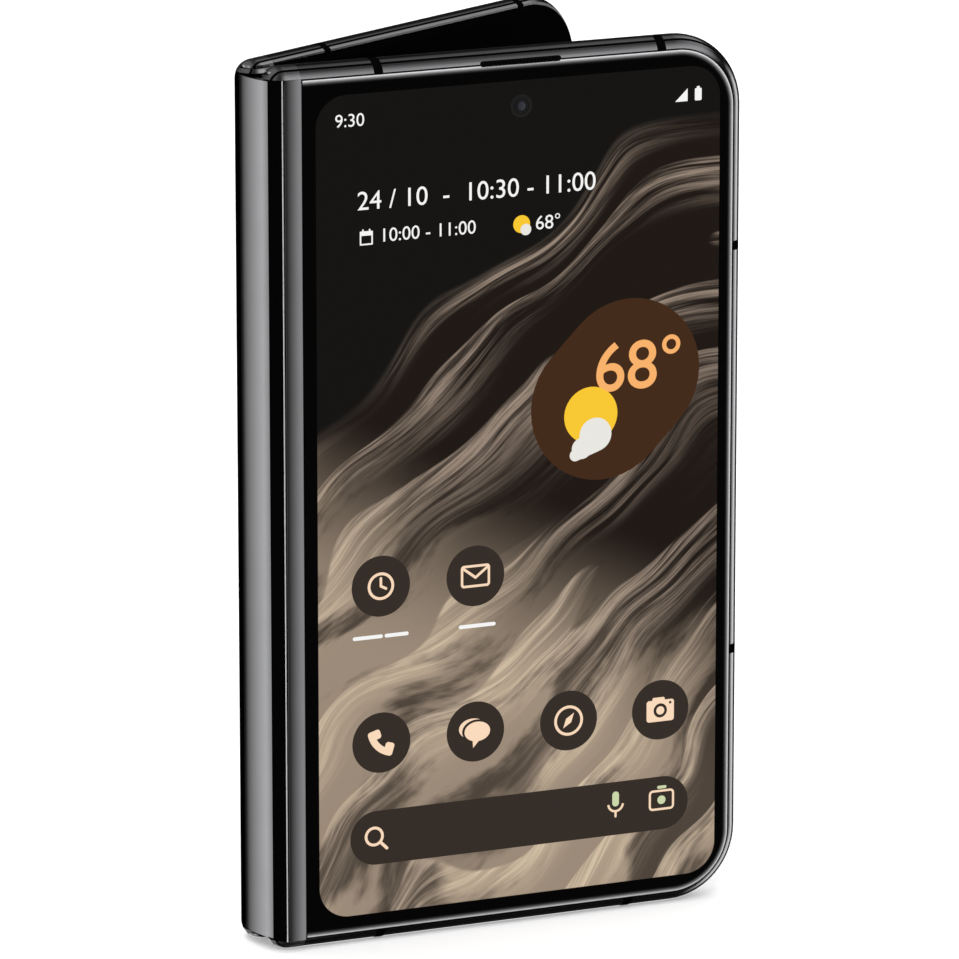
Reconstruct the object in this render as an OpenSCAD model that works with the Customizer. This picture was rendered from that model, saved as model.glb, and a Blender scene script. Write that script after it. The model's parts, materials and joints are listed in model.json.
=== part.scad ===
// Foldable smartphone: two halves on a geared twin-axis hinge, standing half open.
// Each half is drawn shut, with its outer face towards -Y, and is then turned open.
// The origin is on the table, in the plane of the hinge ends, midway between the halves.

/* [Halves] */
// Height of the phone
half_h = 139.7; // [132:0.1:150]
// Width of each half, from its hinge end to its free edge
half_w = 79.2; // [76:0.1:86]
// Thickness of each half
half_t = 5.8; // [5.7:0.05:6.4]
// Radius of the two corners on each free edge
corner_r = 11.5; // [10.5:0.1:13]
// Width of the metal rim round the glass
rim_w = 1.85; // [1.7:0.05:2.1]
// Distance from the edge to the pocket that holds the electronics
wall_w = 3.6; // [3.4:0.1:4.2]
// Width of the metal band beside the hinge, up to the glass
band_w = 5.36; // [5.3:0.02:5.8]
// Thickness of the metal skin that passes over the hinge
skin_t = 1.36; // [1.2:0.02:1.4]
// Thickness of the end caps above and below the hinge
cap_t = 1.8; // [1.5:0.1:1.8]
// Width of each plastic antenna band
antenna_w = 1.5; // [1:0.1:2]

/* [Hinge] */
// Distance of each hinge axis from the middle plane, and from the hinge ends
axis_off = 2; // [2:0.01:2.05]
// Angle of each half from shut, as it stands
stand_angle = 14; // [10:1:30]
// Gap between the facing sides when shut
shut_gap = 0.5; // [0.45:0.05:0.6]
// Gap between the hinge ends when laid flat
flat_gap = 0.3; // [0.2:0.05:0.5]
// How far the spine cover stands past the plane of the hinge ends
spine_out = 0.3; // [0.2:0.02:0.4]
// Wall thickness of the spine cover
spine_wall = 0.6; // [0.5:0.05:0.7]
// Radius of the crown of the spine cover
crown_r = 14; // [12:0.5:20]
// Gap round what turns or slides
run_gap = 0.15; // [0.12:0.01:0.18]
// Radius of the hinge shafts
shaft_r = 0.7; // [0.6:0.02:0.8]
// Radial clearance of each shaft in its bracket
bearing_gap = 0.04; // [0.02:0.01:0.08]
// Tooth size of the timing gears, as a module
gear_module = 0.125; // [0.12:0.001:0.125]
// Height of the lower hinge unit above the table
unit_low = 24; // [18:1:30]
// Width of each hinge arm
arm_w = 6; // [4:0.5:8]
// Half of the length of display that bends
bend_w = 6; // [5.8:0.05:6.1]

/* [Displays and glass] */
// Thickness of the outer glass panels
glass_t = 0.7; // [0.6:0.05:0.8]
// Thickness of the outer display panel
oled_t = 0.6; // [0.5:0.05:0.7]
// Distance of the outer display from the end of the metal band
oled_inset = 1.4; // [1.2:0.1:2]
// Thickness of the inner display on its backing
inner_oled_t = 0.65; // [0.5:0.05:0.7]
// Thickness of the inner display where it bends
bend_t = 0.25; // [0.2:0.01:0.3]
// Depth of the inner display below the metal rim
inner_sink = 0.25; // [0.2:0.01:0.3]
// Height of the soft bezel above the metal rim
bezel_up = 0.12; // [0.08:0.01:0.15]
// Height of the bezel bars above and below the inner display
bezel_bar = 8.05; // [6:0.05:10]
// Width of the bezel down each free edge
bezel_side = 5.2; // [4.5:0.1:7]
// Thickness of the structural plate in each half
plate_t = 0.6; // [0.5:0.05:0.7]

/* [Cameras and ports] */
// Height of the camera bar above the back glass
bar_up = 1.5; // [1:0.1:2.2]
// Height of the camera bar, along the phone
bar_h = 23; // [20:0.5:26]
// Distance from the top of the phone to the camera bar
bar_top = 12; // [9:0.5:16]
// Distance from the camera bar to each side of the back
bar_side = 8; // [7:0.5:10]
// Radius of the holes for the rear cameras
camera_r = 4.3; // [4:0.1:4.8]
// Distance of the selfie camera from the hinge end
selfie_x = 41.6; // [38:0.1:44]
// Distance of the selfie camera from the top
selfie_top = 8.75; // [8:0.05:10]
// Radius of the selfie camera's hole in the display
selfie_r = 1.8; // [1.5:0.1:2.2]
// Length of the earpiece slot
earpiece_w = 13.5; // [10:0.5:18]
// Width of the opening of the charging socket
usb_w = 8.34; // [8.3:0.01:8.4]
// Height of the opening of the charging socket
usb_t = 2.56; // [2.5:0.01:2.6]
// Depth of the charging socket
usb_depth = 6.5; // [6:0.1:7.5]

/* [Keys and tray] */
// Length of the power key
power_w = 11; // [8:0.5:13]
// Length of the volume key
volume_w = 20; // [16:0.5:22]
// Width of both keys, across the edge
key_t = 2.2; // [1.8:0.1:2.4]
// How far the keys stand out of the edge
key_up = 0.45; // [0.4:0.05:0.6]
// Height of the middle of the power key
power_z = 97; // [94:0.5:100]
// Height of the middle of the volume key
volume_z = 76; // [72:0.5:78]
// Width of the card tray
tray_w = 10; // [9:0.5:11]
// Length of the card tray
tray_l = 21; // [18:0.5:24]

/* [Inside] */
// Width of the two batteries
battery_w = 50; // [40:1:54]
// Height of the battery in the front half
front_battery_h = 76; // [60:1:78]
// Height of the battery in the back half
back_battery_h = 54; // [40:1:54]
// Height of the lower end of the front battery
front_battery_z = 22; // [16:1:23]
// Height of the lower end of the back battery
back_battery_z = 30; // [28.5:0.5:31]
// Thickness of the circuit boards
board_t = 0.8; // [0.6:0.05:1]
// Height of the parts and shields on the main board
shield_t = 1.5; // [1:0.1:1.6]
// Gap between pieces that lie on each other inside
fit = 0.1; // [0.05:0.01:0.12]
// Gap between pieces that lie beside each other inside
pack_gap = 1; // [0.8:0.1:1.4]
// Length of each closing magnet
magnet_l = 12; // [8:0.5:14]

/* [Hidden] */
$fn = 96;
over = 1;                    // how far a cutter runs past the face that it cuts
thin = 0.05;                 // clearance of pieces that are set into each other

// Places across a shut half, outer face to inner face
inner_y = -shut_gap / 2;
outer_y = inner_y - half_t;
mid_y = (inner_y + outer_y) / 2;
glass_y = outer_y + glass_t;
oled_y = glass_y + oled_t;
screen_y = inner_y - inner_sink;
plate_y = screen_y - inner_oled_t;
pocket_y = plate_y - plate_t;
skin_y = outer_y + skin_t;
bezel_y = inner_y + bezel_up;

// Places along a shut half, hinge end to free edge
end_x = flat_gap / 2;
free_x = end_x + half_w;
nose_r = half_t / 2;
nose_x = end_x + nose_r;
turn_x = free_x - corner_r;
band_x = end_x + band_w;
swing_r = 3.15;              // the hinge side wall starts past the swing of the spine
wall_x = axis_off + swing_r;
hinge_wall = 1.5;            // thickness of that wall
pocket_x = wall_x + hinge_wall;
ledge_w = 1;                 // width of the ledge that the structural plate lies on
slope_x = pocket_x + 0.2;    // top of the slope on the hinge side wall
slope_y = pocket_y + 0.1;    // foot of that slope
glass_corner = 0.6;          // radius of the glass at its hinge side corners
round_x = 2.4;               // where the band starts to round over towards the hinge
step_t = 0.15;               // depth of the step there
groove_in = 0.55;            // place of the line round the rim, from the inner face
groove_w = 0.4;              // width of that line
groove_in_edge = 1.62;       // place of the bottom of that line, from the edge

// Spine
spine_r = -skin_y - axis_off - run_gap;
spine_gap = 0.3;             // gap between the spine's ends and the end caps
spine_z = cap_t + spine_gap;
spine_h = half_h - 2 * spine_z;
spine_end = 1;               // thickness of the spine's closed ends
lip_relief = 0.1;            // how much thicker the spine is at its lips
hub_r = shaft_r + 0.4;
bracket_r = hub_r + 0.1;
bracket_dip = 0.25;          // hollow in the brackets' tops, under the bending display
bracket_x = axis_off + bracket_r - bracket_dip;
head_t = 0.5;                // height of the screws' heads
seat_x = bracket_x - head_t; // seats of the hinge screws' heads
arm_t = 0.7;
arm_y = -axis_off - hub_r + run_gap;          // outer side of the arms' blades
lip_x = 2 * axis_off + arm_y - 0.2;           // where the spine's lips end, clear of the arms
boss_x = spine_wall + 0.05;                   // top of the bosses inside the spine
main_teeth = 16;
idler_teeth = 8;
main_r = gear_module * main_teeth / 2;
idler_r = gear_module * idler_teeth / 2;
idler_off = axis_off - main_r - idler_r;      // distance of the idlers from the middle plane
journal_r = 0.3;
addendum = 0.75;             // height of the teeth, in modules
dedendum = 1.05;
tip_share = 0.1;             // half widths of each tooth, as shares of its pitch
root_share = 0.3;

// Slices of a hinge unit, from its lower end
slice_w = 2.4;               // brackets
journal_l = slice_w - 1;     // length of the idlers' journals in the brackets
gear_w = 3;
spring_w = 3;
gear_at = slice_w + run_gap;
arm_at = gear_at + gear_w + run_gap + slice_w + run_gap;
spring_at = arm_at + arm_w + run_gap + slice_w + run_gap;
unit_h = spring_at + spring_w + run_gap + slice_w;
bracket_at = [0, gear_at + gear_w + run_gap, arm_at + arm_w + run_gap, unit_h - slice_w];
unit_high = half_h - unit_low - unit_h;
UNITS = [unit_low, unit_high];
SCREWED = [2, 3];            // brackets with a screw each
SPRINGS = 4;                 // disc springs on each shaft of a unit
shaft_over = 0.8;            // how far the shafts stand out of the brackets
screw_r = 0.5;
head_r = 0.9;
small_fn = 32;               // sides of screws and other small round pieces
arm_screw_off = 2;           // distance of the arm screws from the middle of each arm
flange_x = pocket_x + 0.15;
flange_w = 3.8;

// Display fold
open_angle = 90;
inner_camera_x = 22;
inner_camera_r = 1.6;
fold_x = 2 * axis_off + screen_y;
FOLD_STEPS = 24;
flex_x = 2 * axis_off + mid_y;
flex_t = 0.15;
flex_w = 7;                  // half of the length of the hinge's ribbon cable
flex_bend = wall_x - run_gap;                 // half of its length that bends, up to the wall
flex_h = 22;                 // height of the ribbon cable

// Bands, slots and cameras along the edges
band_deep = rim_w + 0.9;     // depth of the antenna bands and of the slots in the rim
selfie_z = half_h - selfie_top;
earpiece_t = 0.9;
earpiece_sink = 0.3;
mesh_pitch = 0.6;
MESH_HOLES = floor(earpiece_w / mesh_pitch / 2) - 1;
mesh_share = 0.42;           // width of each hole in the mesh, as a share of the pitch
selfie_gap = 0.2;            // gap round the selfie camera in the display
screen_r = 3;                // corner radius of the inner display's window
oled_r = 5;                  // radius of the outer display's corners beside the hinge
bar_x0 = end_x + bar_side;
bar_x1 = free_x - bar_side;
bar_z1 = half_h - bar_top;
bar_z0 = bar_z1 - bar_h;
bar_z = (bar_z0 + bar_z1) / 2;
CAMERA_SHARES = [0.25, 0.44, 0.63];           // places of the cameras, as shares of the bar's width
CAMERA_X = [for (share = CAMERA_SHARES) bar_x0 + share * (bar_x1 - bar_x0)];
window_r = 7.6;              // half of the height of the dark window over the cameras
window_t = 0.6;
BARREL_R = [camera_r, camera_r - 0.5, camera_r - 0.3];
LENS_R = [2.6, 2, 2.2];
lens_sink = 0.5;             // depth of each lens in its barrel
flash_share = 0.884;
flash_x = bar_x0 + flash_share * (bar_x1 - bar_x0);
flash_r = 1.8;
flash_base = 4.4;
bar_r = 8;
bar_step = 0.5;              // step round the top of the camera bar
usb_x = (end_x + free_x) / 2;
usb_wall = 0.3;
usb_y = pocket_y - fit - usb_t / 2 - usb_wall - thin;
usb_in = 0.5;                // how far the socket's mouth lies inside the rim
speaker_gap = 2.83;          // distance of the loudspeaker from the charging socket
speaker_x = usb_x + usb_w / 2 + speaker_gap;
speaker_w = 12;
speaker_h = 12;
port_w = 1.1;                // width of each loudspeaker hole
port_l = 1.5 * port_w;
PORTS = 5;
top_slot_x = [26, 44];
top_slot_t = 0.55;
mic_r = 0.35;                // holes for the microphone and the ejecting pin
tray_off = 11.75;            // distance of the tray from the charging socket
tray_x = usb_x - tray_off;
mic_gap = 3;                 // distance of the microphone from the tray
mic_x = tray_x - tray_w / 2 - mic_gap;
band_gap = 0.7;              // distance of the lower bands from what lies beside them
corner_gap = 14;             // distance of the upper outer band from the free edge
key_band_gap = 3.4;          // distance of the upper side band from the power key
low_band_z = 40.8;           // height of the lower side band
FOOT_BANDS = [
  mic_x - mic_r - antenna_w / 2 - band_gap,
  speaker_x + speaker_w + antenna_w / 2 + band_gap
];
TOP_BANDS = [FOOT_BANDS[0], half_w - corner_gap];
SIDE_BANDS = [low_band_z, power_z + power_w / 2 + key_band_gap];
tray_y = -3.2;
tray_t = 1.2;
tray_face = 2.2;             // width of the tray's face across the rim
tray_gap = 0.1;
tray_lip = 1;                // how far the face reaches past the tray on each side
tray_face_t = 1.2;
tray_wall = 0.8;
key_gap = 0.12;
rocker_gap = 2 * key_gap;    // the volume key tilts, so its hole is larger
key_flange = 0.6;            // how far the keys' flanges reach past their holes
flange_t = 0.7;
power_slack = 0.1;           // gap between each flange and the wall at rest
volume_slack = 0.35;
dome_r = 1;
dome_t = 0.6;
rib_r = 0.4;                 // rib that the volume key tilts on
dome_gap = 0.5;              // gap that a key crosses before its dome gives way
strip_t = 0.3;
strip_w = 2.4;
strip_over = 4;              // how far the strip runs past its end domes
key_in = wall_w + volume_slack + flange_t;   // how far the keys reach in from the edge
strip_x = free_x - key_in - dome_gap - dome_t - strip_t;
rocker_off = volume_w / 2 - 3;               // domes of the volume key, from its middle

// Inside: the space beside the arms' flanges, and what fills it
pack_x = flange_x + flange_w + pack_gap;
inside_x = free_x - wall_w - pack_gap;
magnet_w = 2.6;
magnet_t = 1.5;
MAGNET_Z = [half_h * 0.3, half_h * 0.72];
chip_r = 1;                  // corner radius of what lies inside
selfie_base = 6;
board_x = inside_x - magnet_w - pack_gap;
main_board_x = strip_x - fit - magnet_w - pack_gap;
main_board_z = back_battery_z + back_battery_h + pack_gap;
shield_wall = 0.2;
module_w = 10.6;             // housing of each rear camera
module_gap = 0.3;
tongue_w = 6.69;
tongue_t = 0.7;
ear_w = 12;
ear_h = 7.5;
motor_w = 14;
motor_h = 9;
port_board_x = usb_x - usb_w / 2 - usb_wall - fit - pack_gap;
port_board_w = 26;
cage_t = 0.4;                // wall of the card tray's cage

// ---------------------------------------------------------------- placing

// Turns children from shut to standing, for the front half and the back half
module front_half() {
  translate([axis_off, -axis_off, 0])
    rotate([0, 0, -stand_angle])
      translate([-axis_off, axis_off, 0])
        children();
}

module back_half() {
  mirror([0, 1, 0])
    front_half()
      children();
}

// Extrudes an outline drawn in X and Z across the half, between two places in Y
module across(y0, y1) {
  translate([0, y1, 0])
    rotate([90, 0, 0])
      linear_extrude(y1 - y0)
        children();
}

// Upright extrusion of an outline drawn in X and Y
module upright(z0, z1) {
  translate([0, 0, z0])
    linear_extrude(z1 - z0)
      children();
}

// ---------------------------------------------------------------- outlines

// Rectangle with radius ra on its hinge side corners and rb on its free side corners
module round_rect(x0, x1, z0, z1, ra, rb) {
  translate([x0 + ra, z0])
    square([x1 - x0 - ra - rb, z1 - z0]);
  translate([x0, z0 + ra])
    square([(x1 - x0) / 2, z1 - z0 - 2 * ra]);
  translate([(x0 + x1) / 2, z0 + rb])
    square([(x1 - x0) / 2, z1 - z0 - 2 * rb]);
  for (z = [0, 1]) {
    if (ra > 0) translate([x0 + ra, z == 0 ? z0 + ra : z1 - ra]) circle(ra);
    if (rb > 0) translate([x1 - rb, z == 0 ? z0 + rb : z1 - rb]) circle(rb);
  }
}

// Outline of a half at a distance in from its edge, starting at x0
module half_outline(inset, x0, ra = 0) {
  round_rect(x0, free_x - inset, inset, half_h - inset, ra, corner_r - inset);
}

// Slot with round ends, its length along the first axis
module slot(length, width) {
  square([length - width, width], center = true);
  for (s = [-1, 1]) translate([s * (length - width) / 2, 0]) circle(width / 2);
}

// Section of a half along its height
module height_section() {
  translate([nose_r, outer_y]) square([half_h - 2 * nose_r, half_t]);
  for (z = [nose_r, half_h - nose_r]) translate([z, mid_y]) circle(nose_r);
}

// Whole half with its full round edge
module blank() {
  translate([nose_x, 0, 0])
    rotate([0, -90, 0])
      mirror([0, 0, 1])
        linear_extrude(turn_x - nose_x)
          height_section();
  // the nose, with round ends
  translate([nose_x, mid_y, 0])
    rotate([0, 0, 90])
      rotate_extrude(angle = 180) {
        translate([0, nose_r]) square([nose_r, half_h - 2 * nose_r]);
        for (z = [nose_r, half_h - nose_r])
          intersection() {
            translate([0, z]) circle(nose_r);
            square([nose_r + over, half_h]);
          }
      }
  upright(corner_r, half_h - corner_r) {
    translate([turn_x - over, outer_y]) square([corner_r - nose_r + over, half_t]);
    translate([free_x - nose_r, mid_y]) circle(nose_r);
  }
  for (top = [0, 1])
    translate([turn_x, 0, top == 1 ? half_h - corner_r : corner_r])
      rotate([90, 0, 0])
        rotate([0, 0, top == 1 ? 0 : -90])
          rotate_extrude(angle = 90) {
            translate([0, -inner_y]) square([corner_r - nose_r, half_t]);
            translate([corner_r - nose_r, -mid_y]) circle(nose_r);
          }
}

// ---------------------------------------------------------------- shells

// Boxes that the antenna bands fill, at the rim
module band_cutters(top, foot, side) {
  for (x = top)
    translate([x - antenna_w / 2, outer_y - over, half_h - band_deep])
      cube([antenna_w, half_t + 2 * over, band_deep + over]);
  for (x = foot)
    translate([x - antenna_w / 2, outer_y - over, -over])
      cube([antenna_w, half_t + 2 * over, band_deep + over]);
  for (z = side)
    translate([free_x - band_deep, outer_y - over, z - antenna_w / 2])
      cube([band_deep + over, half_t + 2 * over, antenna_w]);
}

// What every half has cut out of its blank: seats, pocket, hinge bay and rim line
module half_cuts() {
  across(outer_y - over, glass_y) half_outline(rim_w, band_x);
  across(glass_y - over, pocket_y + thin) half_outline(wall_w, pocket_x);
  across(pocket_y, inner_y + over) half_outline(wall_w - ledge_w, pocket_x - ledge_w);
  across(screen_y, inner_y + over) half_outline(rim_w, wall_x);
  // the line round the rim
  across(inner_y - groove_in - groove_w, inner_y - groove_in)
    difference() {
      translate([nose_x, -over]) square([half_w, half_h + 2 * over]);
      half_outline(groove_in_edge, nose_x - over);
    }
  // slots for the hinge arms in the hinge side wall
  for (z = UNITS)
    translate([wall_x - over, arm_y - run_gap, z + arm_at - run_gap])
      cube([pocket_x - wall_x + 2 * over, -arm_y + over, arm_w + 2 * run_gap]);
  // slot for the ribbon cable in that wall
  translate([wall_x - over, mid_y - flex_t - 2 * run_gap, (half_h - flex_h) / 2 - run_gap])
    cube([pocket_x - wall_x + 2 * over, flex_t + 4 * run_gap, flex_h + 2 * run_gap]);
}

// Metal of a half: rim, hinge side wall and the skin over the hinge
module metal(top, foot, side) {
  difference() {
    blank();
    // the hinge bay, open towards the other half
    translate([end_x - over, skin_y, -over])
      cube([wall_x - end_x + over, half_t, half_h + 2 * over]);
    // the ends of the skin make room for the end caps
    for (z = [-over, half_h - cap_t])
      translate([end_x - over, outer_y - over, z])
        cube([band_w + over, half_t + 2 * over, cap_t + over]);
    // the hinge side wall slopes away under the bending display
    upright(-over, half_h + over)
      polygon([[wall_x - over, slope_y], [wall_x, slope_y], [slope_x, screen_y], [slope_x, inner_y + over],
        [wall_x - over, inner_y + over]]);
    // the step along the band, towards the hinge
    upright(-over, half_h + over)
      polygon([[end_x - over, outer_y - over], [round_x, outer_y - over], [round_x, outer_y],
        [round_x - step_t, outer_y + step_t], [end_x - over, outer_y + step_t]]);
    half_cuts();
    band_cutters(top, foot, side);
  }
}

// Closed round ends over the hinge, above and below the spine
module end_caps() {
  difference() {
    intersection() {
      blank();
      union()
        for (z = [0, half_h - cap_t])
          translate([0, outer_y, z])
            cube([band_x, half_t, cap_t]);
    }
    // the rim line turns round the nose
    for (z = [-over, half_h - groove_in_edge])
      translate([0, 0, z])
        linear_extrude(groove_in_edge + over)
          intersection() {
            difference() {
              union() {
                translate([nose_x, mid_y]) circle(nose_r - groove_in);
                translate([nose_x, mid_y]) square([band_w, nose_r - groove_in]);
              }
              translate([nose_x, mid_y]) circle(nose_r - groove_in - groove_w);
              translate([nose_x, outer_y]) square([band_w, half_t - groove_in - groove_w]);
            }
            translate([0, mid_y - nose_r / 3]) square([band_x + over, half_t]);
          }
  }
}

// Plastic bands flush with the rim
module antenna_bands(top, foot, side) {
  intersection() {
    blank();
    difference() {
      band_cutters(top, foot, side);
      half_cuts();
    }
  }
}

module front_frame() {
  color("#3b3b3d")
    front_half()
      difference() {
        metal(TOP_BANDS, FOOT_BANDS, SIDE_BANDS);
        earpiece_slot();
      }
}

module front_end_caps() { color("#48484a") front_half() end_caps(); }

module front_antenna_bands() {
  color("#1b1b1c") front_half() antenna_bands(TOP_BANDS, FOOT_BANDS, SIDE_BANDS);
}

module back_frame() {
  color("#3b3b3d")
    back_half()
      difference() {
        metal(TOP_BANDS, FOOT_BANDS, SIDE_BANDS);
        key_hole(power_z, power_w, key_gap);
        key_hole(volume_z, volume_w, rocker_gap);
        usb_hole(usb_wall);
        speaker_hole();
        translate([tray_x, tray_y, -over])
          linear_extrude(wall_w + 2 * over)
            slot(tray_w + 2 * tray_gap, tray_t + 2 * tray_gap);
        tray_face_block(tray_gap);
        // slot of the upper loudspeaker, in the seam of the glass
        translate([top_slot_x[0], outer_y - over, half_h - rim_w - thin])
          cube([top_slot_x[1] - top_slot_x[0], over + glass_t + thin, top_slot_t]);
        // microphone
        translate([mic_x, mid_y, -over])
          cylinder(r = mic_r, h = wall_w + 2 * over, $fn = small_fn);
      }
}

module back_end_caps() { color("#48484a") back_half() end_caps(); }

module back_antenna_bands() {
  color("#1b1b1c") back_half() antenna_bands(TOP_BANDS, FOOT_BANDS, SIDE_BANDS);
}

// ---------------------------------------------------------------- outer glass and display

// Glass panel with its edge rounded down to the rim
module glass_panel() {
  intersection() {
    blank();
    across(outer_y - over, glass_y) half_outline(rim_w + thin, band_x + thin, glass_corner);
  }
}

module earpiece_slot() {
  across(outer_y - over, glass_y + earpiece_sink + thin)
    translate([selfie_x, half_h - rim_w])
      slot(earpiece_w, earpiece_t);
}

module cover_glass() {
  color("#0c0c0d")
    front_half()
      difference() {
        glass_panel();
        earpiece_slot();
      }
}

module outer_display() {
  color("#5a4a3c")
    front_half()
      difference() {
        across(glass_y, oled_y)
          half_outline(wall_w + thin, band_x + oled_inset, oled_r);
        across(glass_y - over, oled_y + over)
          translate([selfie_x, selfie_z]) circle(selfie_r);
      }
}

module selfie_camera() {
  color("#141416")
    front_half() {
      across(glass_y + thin, oled_y + fit) translate([selfie_x, selfie_z]) circle(selfie_r - selfie_gap);
      across(oled_y + fit, pocket_y - fit)
        translate([selfie_x, selfie_z]) square(selfie_base, center = true);
    }
}

module earpiece_mesh() {
  color("#0a0a0a")
    front_half()
      difference() {
        across(outer_y + earpiece_sink, glass_y + earpiece_sink)
          translate([selfie_x, half_h - rim_w])
            slot(earpiece_w - 2 * thin, earpiece_t - 2 * thin);
        for (i = [-MESH_HOLES : MESH_HOLES])
          across(outer_y, glass_y + over)
            translate([selfie_x + i * mesh_pitch, half_h - rim_w])
              square([mesh_pitch, earpiece_t] * mesh_share, center = true);
      }
}

module earpiece_speaker() {
  color("#2a2a2c")
    front_half()
      across(oled_y + fit, pocket_y - fit)
        translate([selfie_x + selfie_base / 2 + pack_gap, half_h - wall_w - fit - ear_h])
          round_rect(0, ear_w, 0, ear_h, chip_r, chip_r);
}

module back_glass() {
  color("#0f0f10")
    back_half()
      difference() {
        glass_panel();
        for (x = CAMERA_X)
          across(outer_y - over, glass_y + over) translate([x, bar_z]) circle(camera_r + module_gap);
        across(outer_y - over, glass_y + over) translate([flash_x, bar_z]) circle(flash_r + module_gap);
      }
}

// ---------------------------------------------------------------- inside the halves

module structural_plate() {
  across(pocket_y, plate_y) half_outline(wall_w - ledge_w + thin, pocket_x - ledge_w + thin);
}

// Screw holes of the hinge arms in the structural plate
module arm_screw_places() {
  for (z = UNITS, side = [-1, 1])
    translate([flange_x + flange_w / 2, pocket_y, z + arm_at + arm_w / 2 + side * arm_screw_off])
      rotate([-90, 0, 0])
        children();
}

module plate_with_taps() {
  difference() {
    structural_plate();
    arm_screw_places()
      translate([0, 0, -over])
        cylinder(r = screw_r, h = plate_t + 2 * over, $fn = small_fn);
  }
}

module front_plate() { color("#8a8d90") front_half() plate_with_taps(); }

module back_plate() { color("#8a8d90") back_half() plate_with_taps(); }

module front_battery() {
  color("#202226")
    front_half()
      across(oled_y + fit, pocket_y - fit)
        translate([pack_x, front_battery_z]) round_rect(0, battery_w, 0, front_battery_h, chip_r, chip_r);
}

module back_battery() {
  color("#202226")
    back_half()
      across(glass_y + fit, pocket_y - fit)
        translate([pack_x, back_battery_z]) round_rect(0, battery_w, 0, back_battery_h, chip_r, chip_r);
}

module front_board() {
  color("#17402a")
    front_half()
      across(pocket_y - fit - board_t, pocket_y - fit)
        round_rect(pack_x, board_x, front_battery_z + front_battery_h + pack_gap,
          selfie_z - selfie_base / 2 - pack_gap, chip_r, chip_r);
}

module main_board() {
  color("#17402a")
    back_half()
      difference() {
        across(pocket_y - fit - board_t, pocket_y - fit)
          round_rect(pack_x, main_board_x, main_board_z, half_h - wall_w - pack_gap, chip_r, chip_r);
        across(pocket_y - fit - board_t - over, pocket_y + over)
          round_rect(CAMERA_X[0] - module_w / 2 - module_gap, CAMERA_X[2] + module_w / 2 + module_gap,
            bar_z - module_w / 2 - module_gap, bar_z + module_w / 2 + module_gap, 0, 0);
      }
}

// Outline of the shield over the main board's chips
module shield_outline(inset) {
  round_rect(pack_x + pack_gap + inset, main_board_x - pack_gap - inset,
    main_board_z + pack_gap + inset, bar_z - module_w / 2 - module_gap - pack_gap - inset,
    chip_r - inset, chip_r - inset);
}

module board_shield() {
  base_y = pocket_y - fit - board_t;
  color("#9a9ca0")
    back_half()
      difference() {
        across(base_y - shield_t, base_y) shield_outline(0);
        across(base_y - shield_t + shield_wall, base_y + over) shield_outline(shield_wall);
      }
}

module port_board() {
  color("#17402a")
    back_half()
      difference() {
        across(pocket_y - fit - board_t, pocket_y - fit)
          translate([port_board_x, wall_w + fit])
            round_rect(0, port_board_w, 0, back_battery_z - pack_gap - wall_w - fit, 0, chip_r);
        across(pocket_y - board_t - over, pocket_y + over)
          translate([usb_x, 0])
            square([usb_w + 2 * usb_wall + 2 * fit, 2 * (usb_depth + usb_wall + fit)], center = true);
      }
}

module usb_hole(wall) {
  translate([usb_x, usb_y, -over])
    linear_extrude(wall_w + 2 * over)
      slot(usb_w + 2 * wall + 2 * thin, usb_t + 2 * wall + 2 * thin);
}

module usb_socket() {
  color("#77797c")
    back_half()
      translate([usb_x, usb_y, 0]) {
        difference() {
          upright(usb_in, usb_depth + usb_wall) slot(usb_w + 2 * usb_wall, usb_t + 2 * usb_wall);
          upright(usb_in - over, usb_depth) slot(usb_w, usb_t);
        }
        // contact tongue
        upright(usb_in + over, usb_depth + thin) square([tongue_w, tongue_t], center = true);
      }
}

module speaker_hole() {
  for (i = [0 : PORTS - 1])
    translate([speaker_x + (i + 0.5) * speaker_w / PORTS, mid_y, -over])
      linear_extrude(wall_w + 2 * over)
        slot(port_l, port_w);
}

module loudspeaker() {
  color("#2a2a2c")
    back_half()
      across(glass_y + fit, pocket_y - 2 * fit - board_t)
        translate([speaker_x - pack_gap, wall_w + fit])
          round_rect(0, speaker_w + 2 * pack_gap, 0, speaker_h, chip_r, chip_r);
}

module buzz_motor() {
  color("#6f7276")
    back_half()
      across(glass_y + fit, pocket_y - 2 * fit - board_t)
        translate([speaker_x - pack_gap, wall_w + speaker_h + pack_gap])
          round_rect(0, motor_w, 0, motor_h, chip_r, chip_r);
}

// Closing magnets, whose free side is at x
module magnets(x) {
  for (z = MAGNET_Z)
    across(pocket_y - fit - magnet_t, pocket_y - fit)
      translate([x - magnet_w, z - magnet_l / 2])
        square([magnet_w, magnet_l]);
}

module front_magnets() { color("#b5b7ba") front_half() magnets(inside_x); }

module back_magnets() { color("#b5b7ba") back_half() magnets(strip_x - fit); }

// ---------------------------------------------------------------- inner display

module rigid_display() {
  across(plate_y, screen_y) half_outline(wall_w - ledge_w + thin, bend_w + thin);
}

module inner_display_front() { color("#08080a") front_half() rigid_display(); }

module inner_display_back() { color("#08080a") back_half() rigid_display(); }

// Soft raised bezel round three sides of the inner display
module soft_bezel() {
  difference() {
    // it starts clear of the display, which bends away inwards there
    across(screen_y, bezel_y) half_outline(rim_w + thin, fold_x + 2 * run_gap);
    across(screen_y - over, bezel_y + over)
      round_rect(0, free_x - bezel_side, bezel_bar, half_h - bezel_bar, 0, screen_r);
  }
}

module inner_camera_place() {
  translate([free_x - inner_camera_x, half_h - bezel_bar / 2]) children();
}

module front_bezel() {
  color("#151516")
    front_half()
      difference() {
        soft_bezel();
        across(screen_y - over, bezel_y + over) inner_camera_place() circle(inner_camera_r + thin);
      }
}

module inner_camera() {
  color("#1c1c20")
    front_half()
      across(screen_y, inner_y) inner_camera_place() circle(inner_camera_r);
}

module back_bezel() { color("#151516") back_half() soft_bezel(); }

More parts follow.
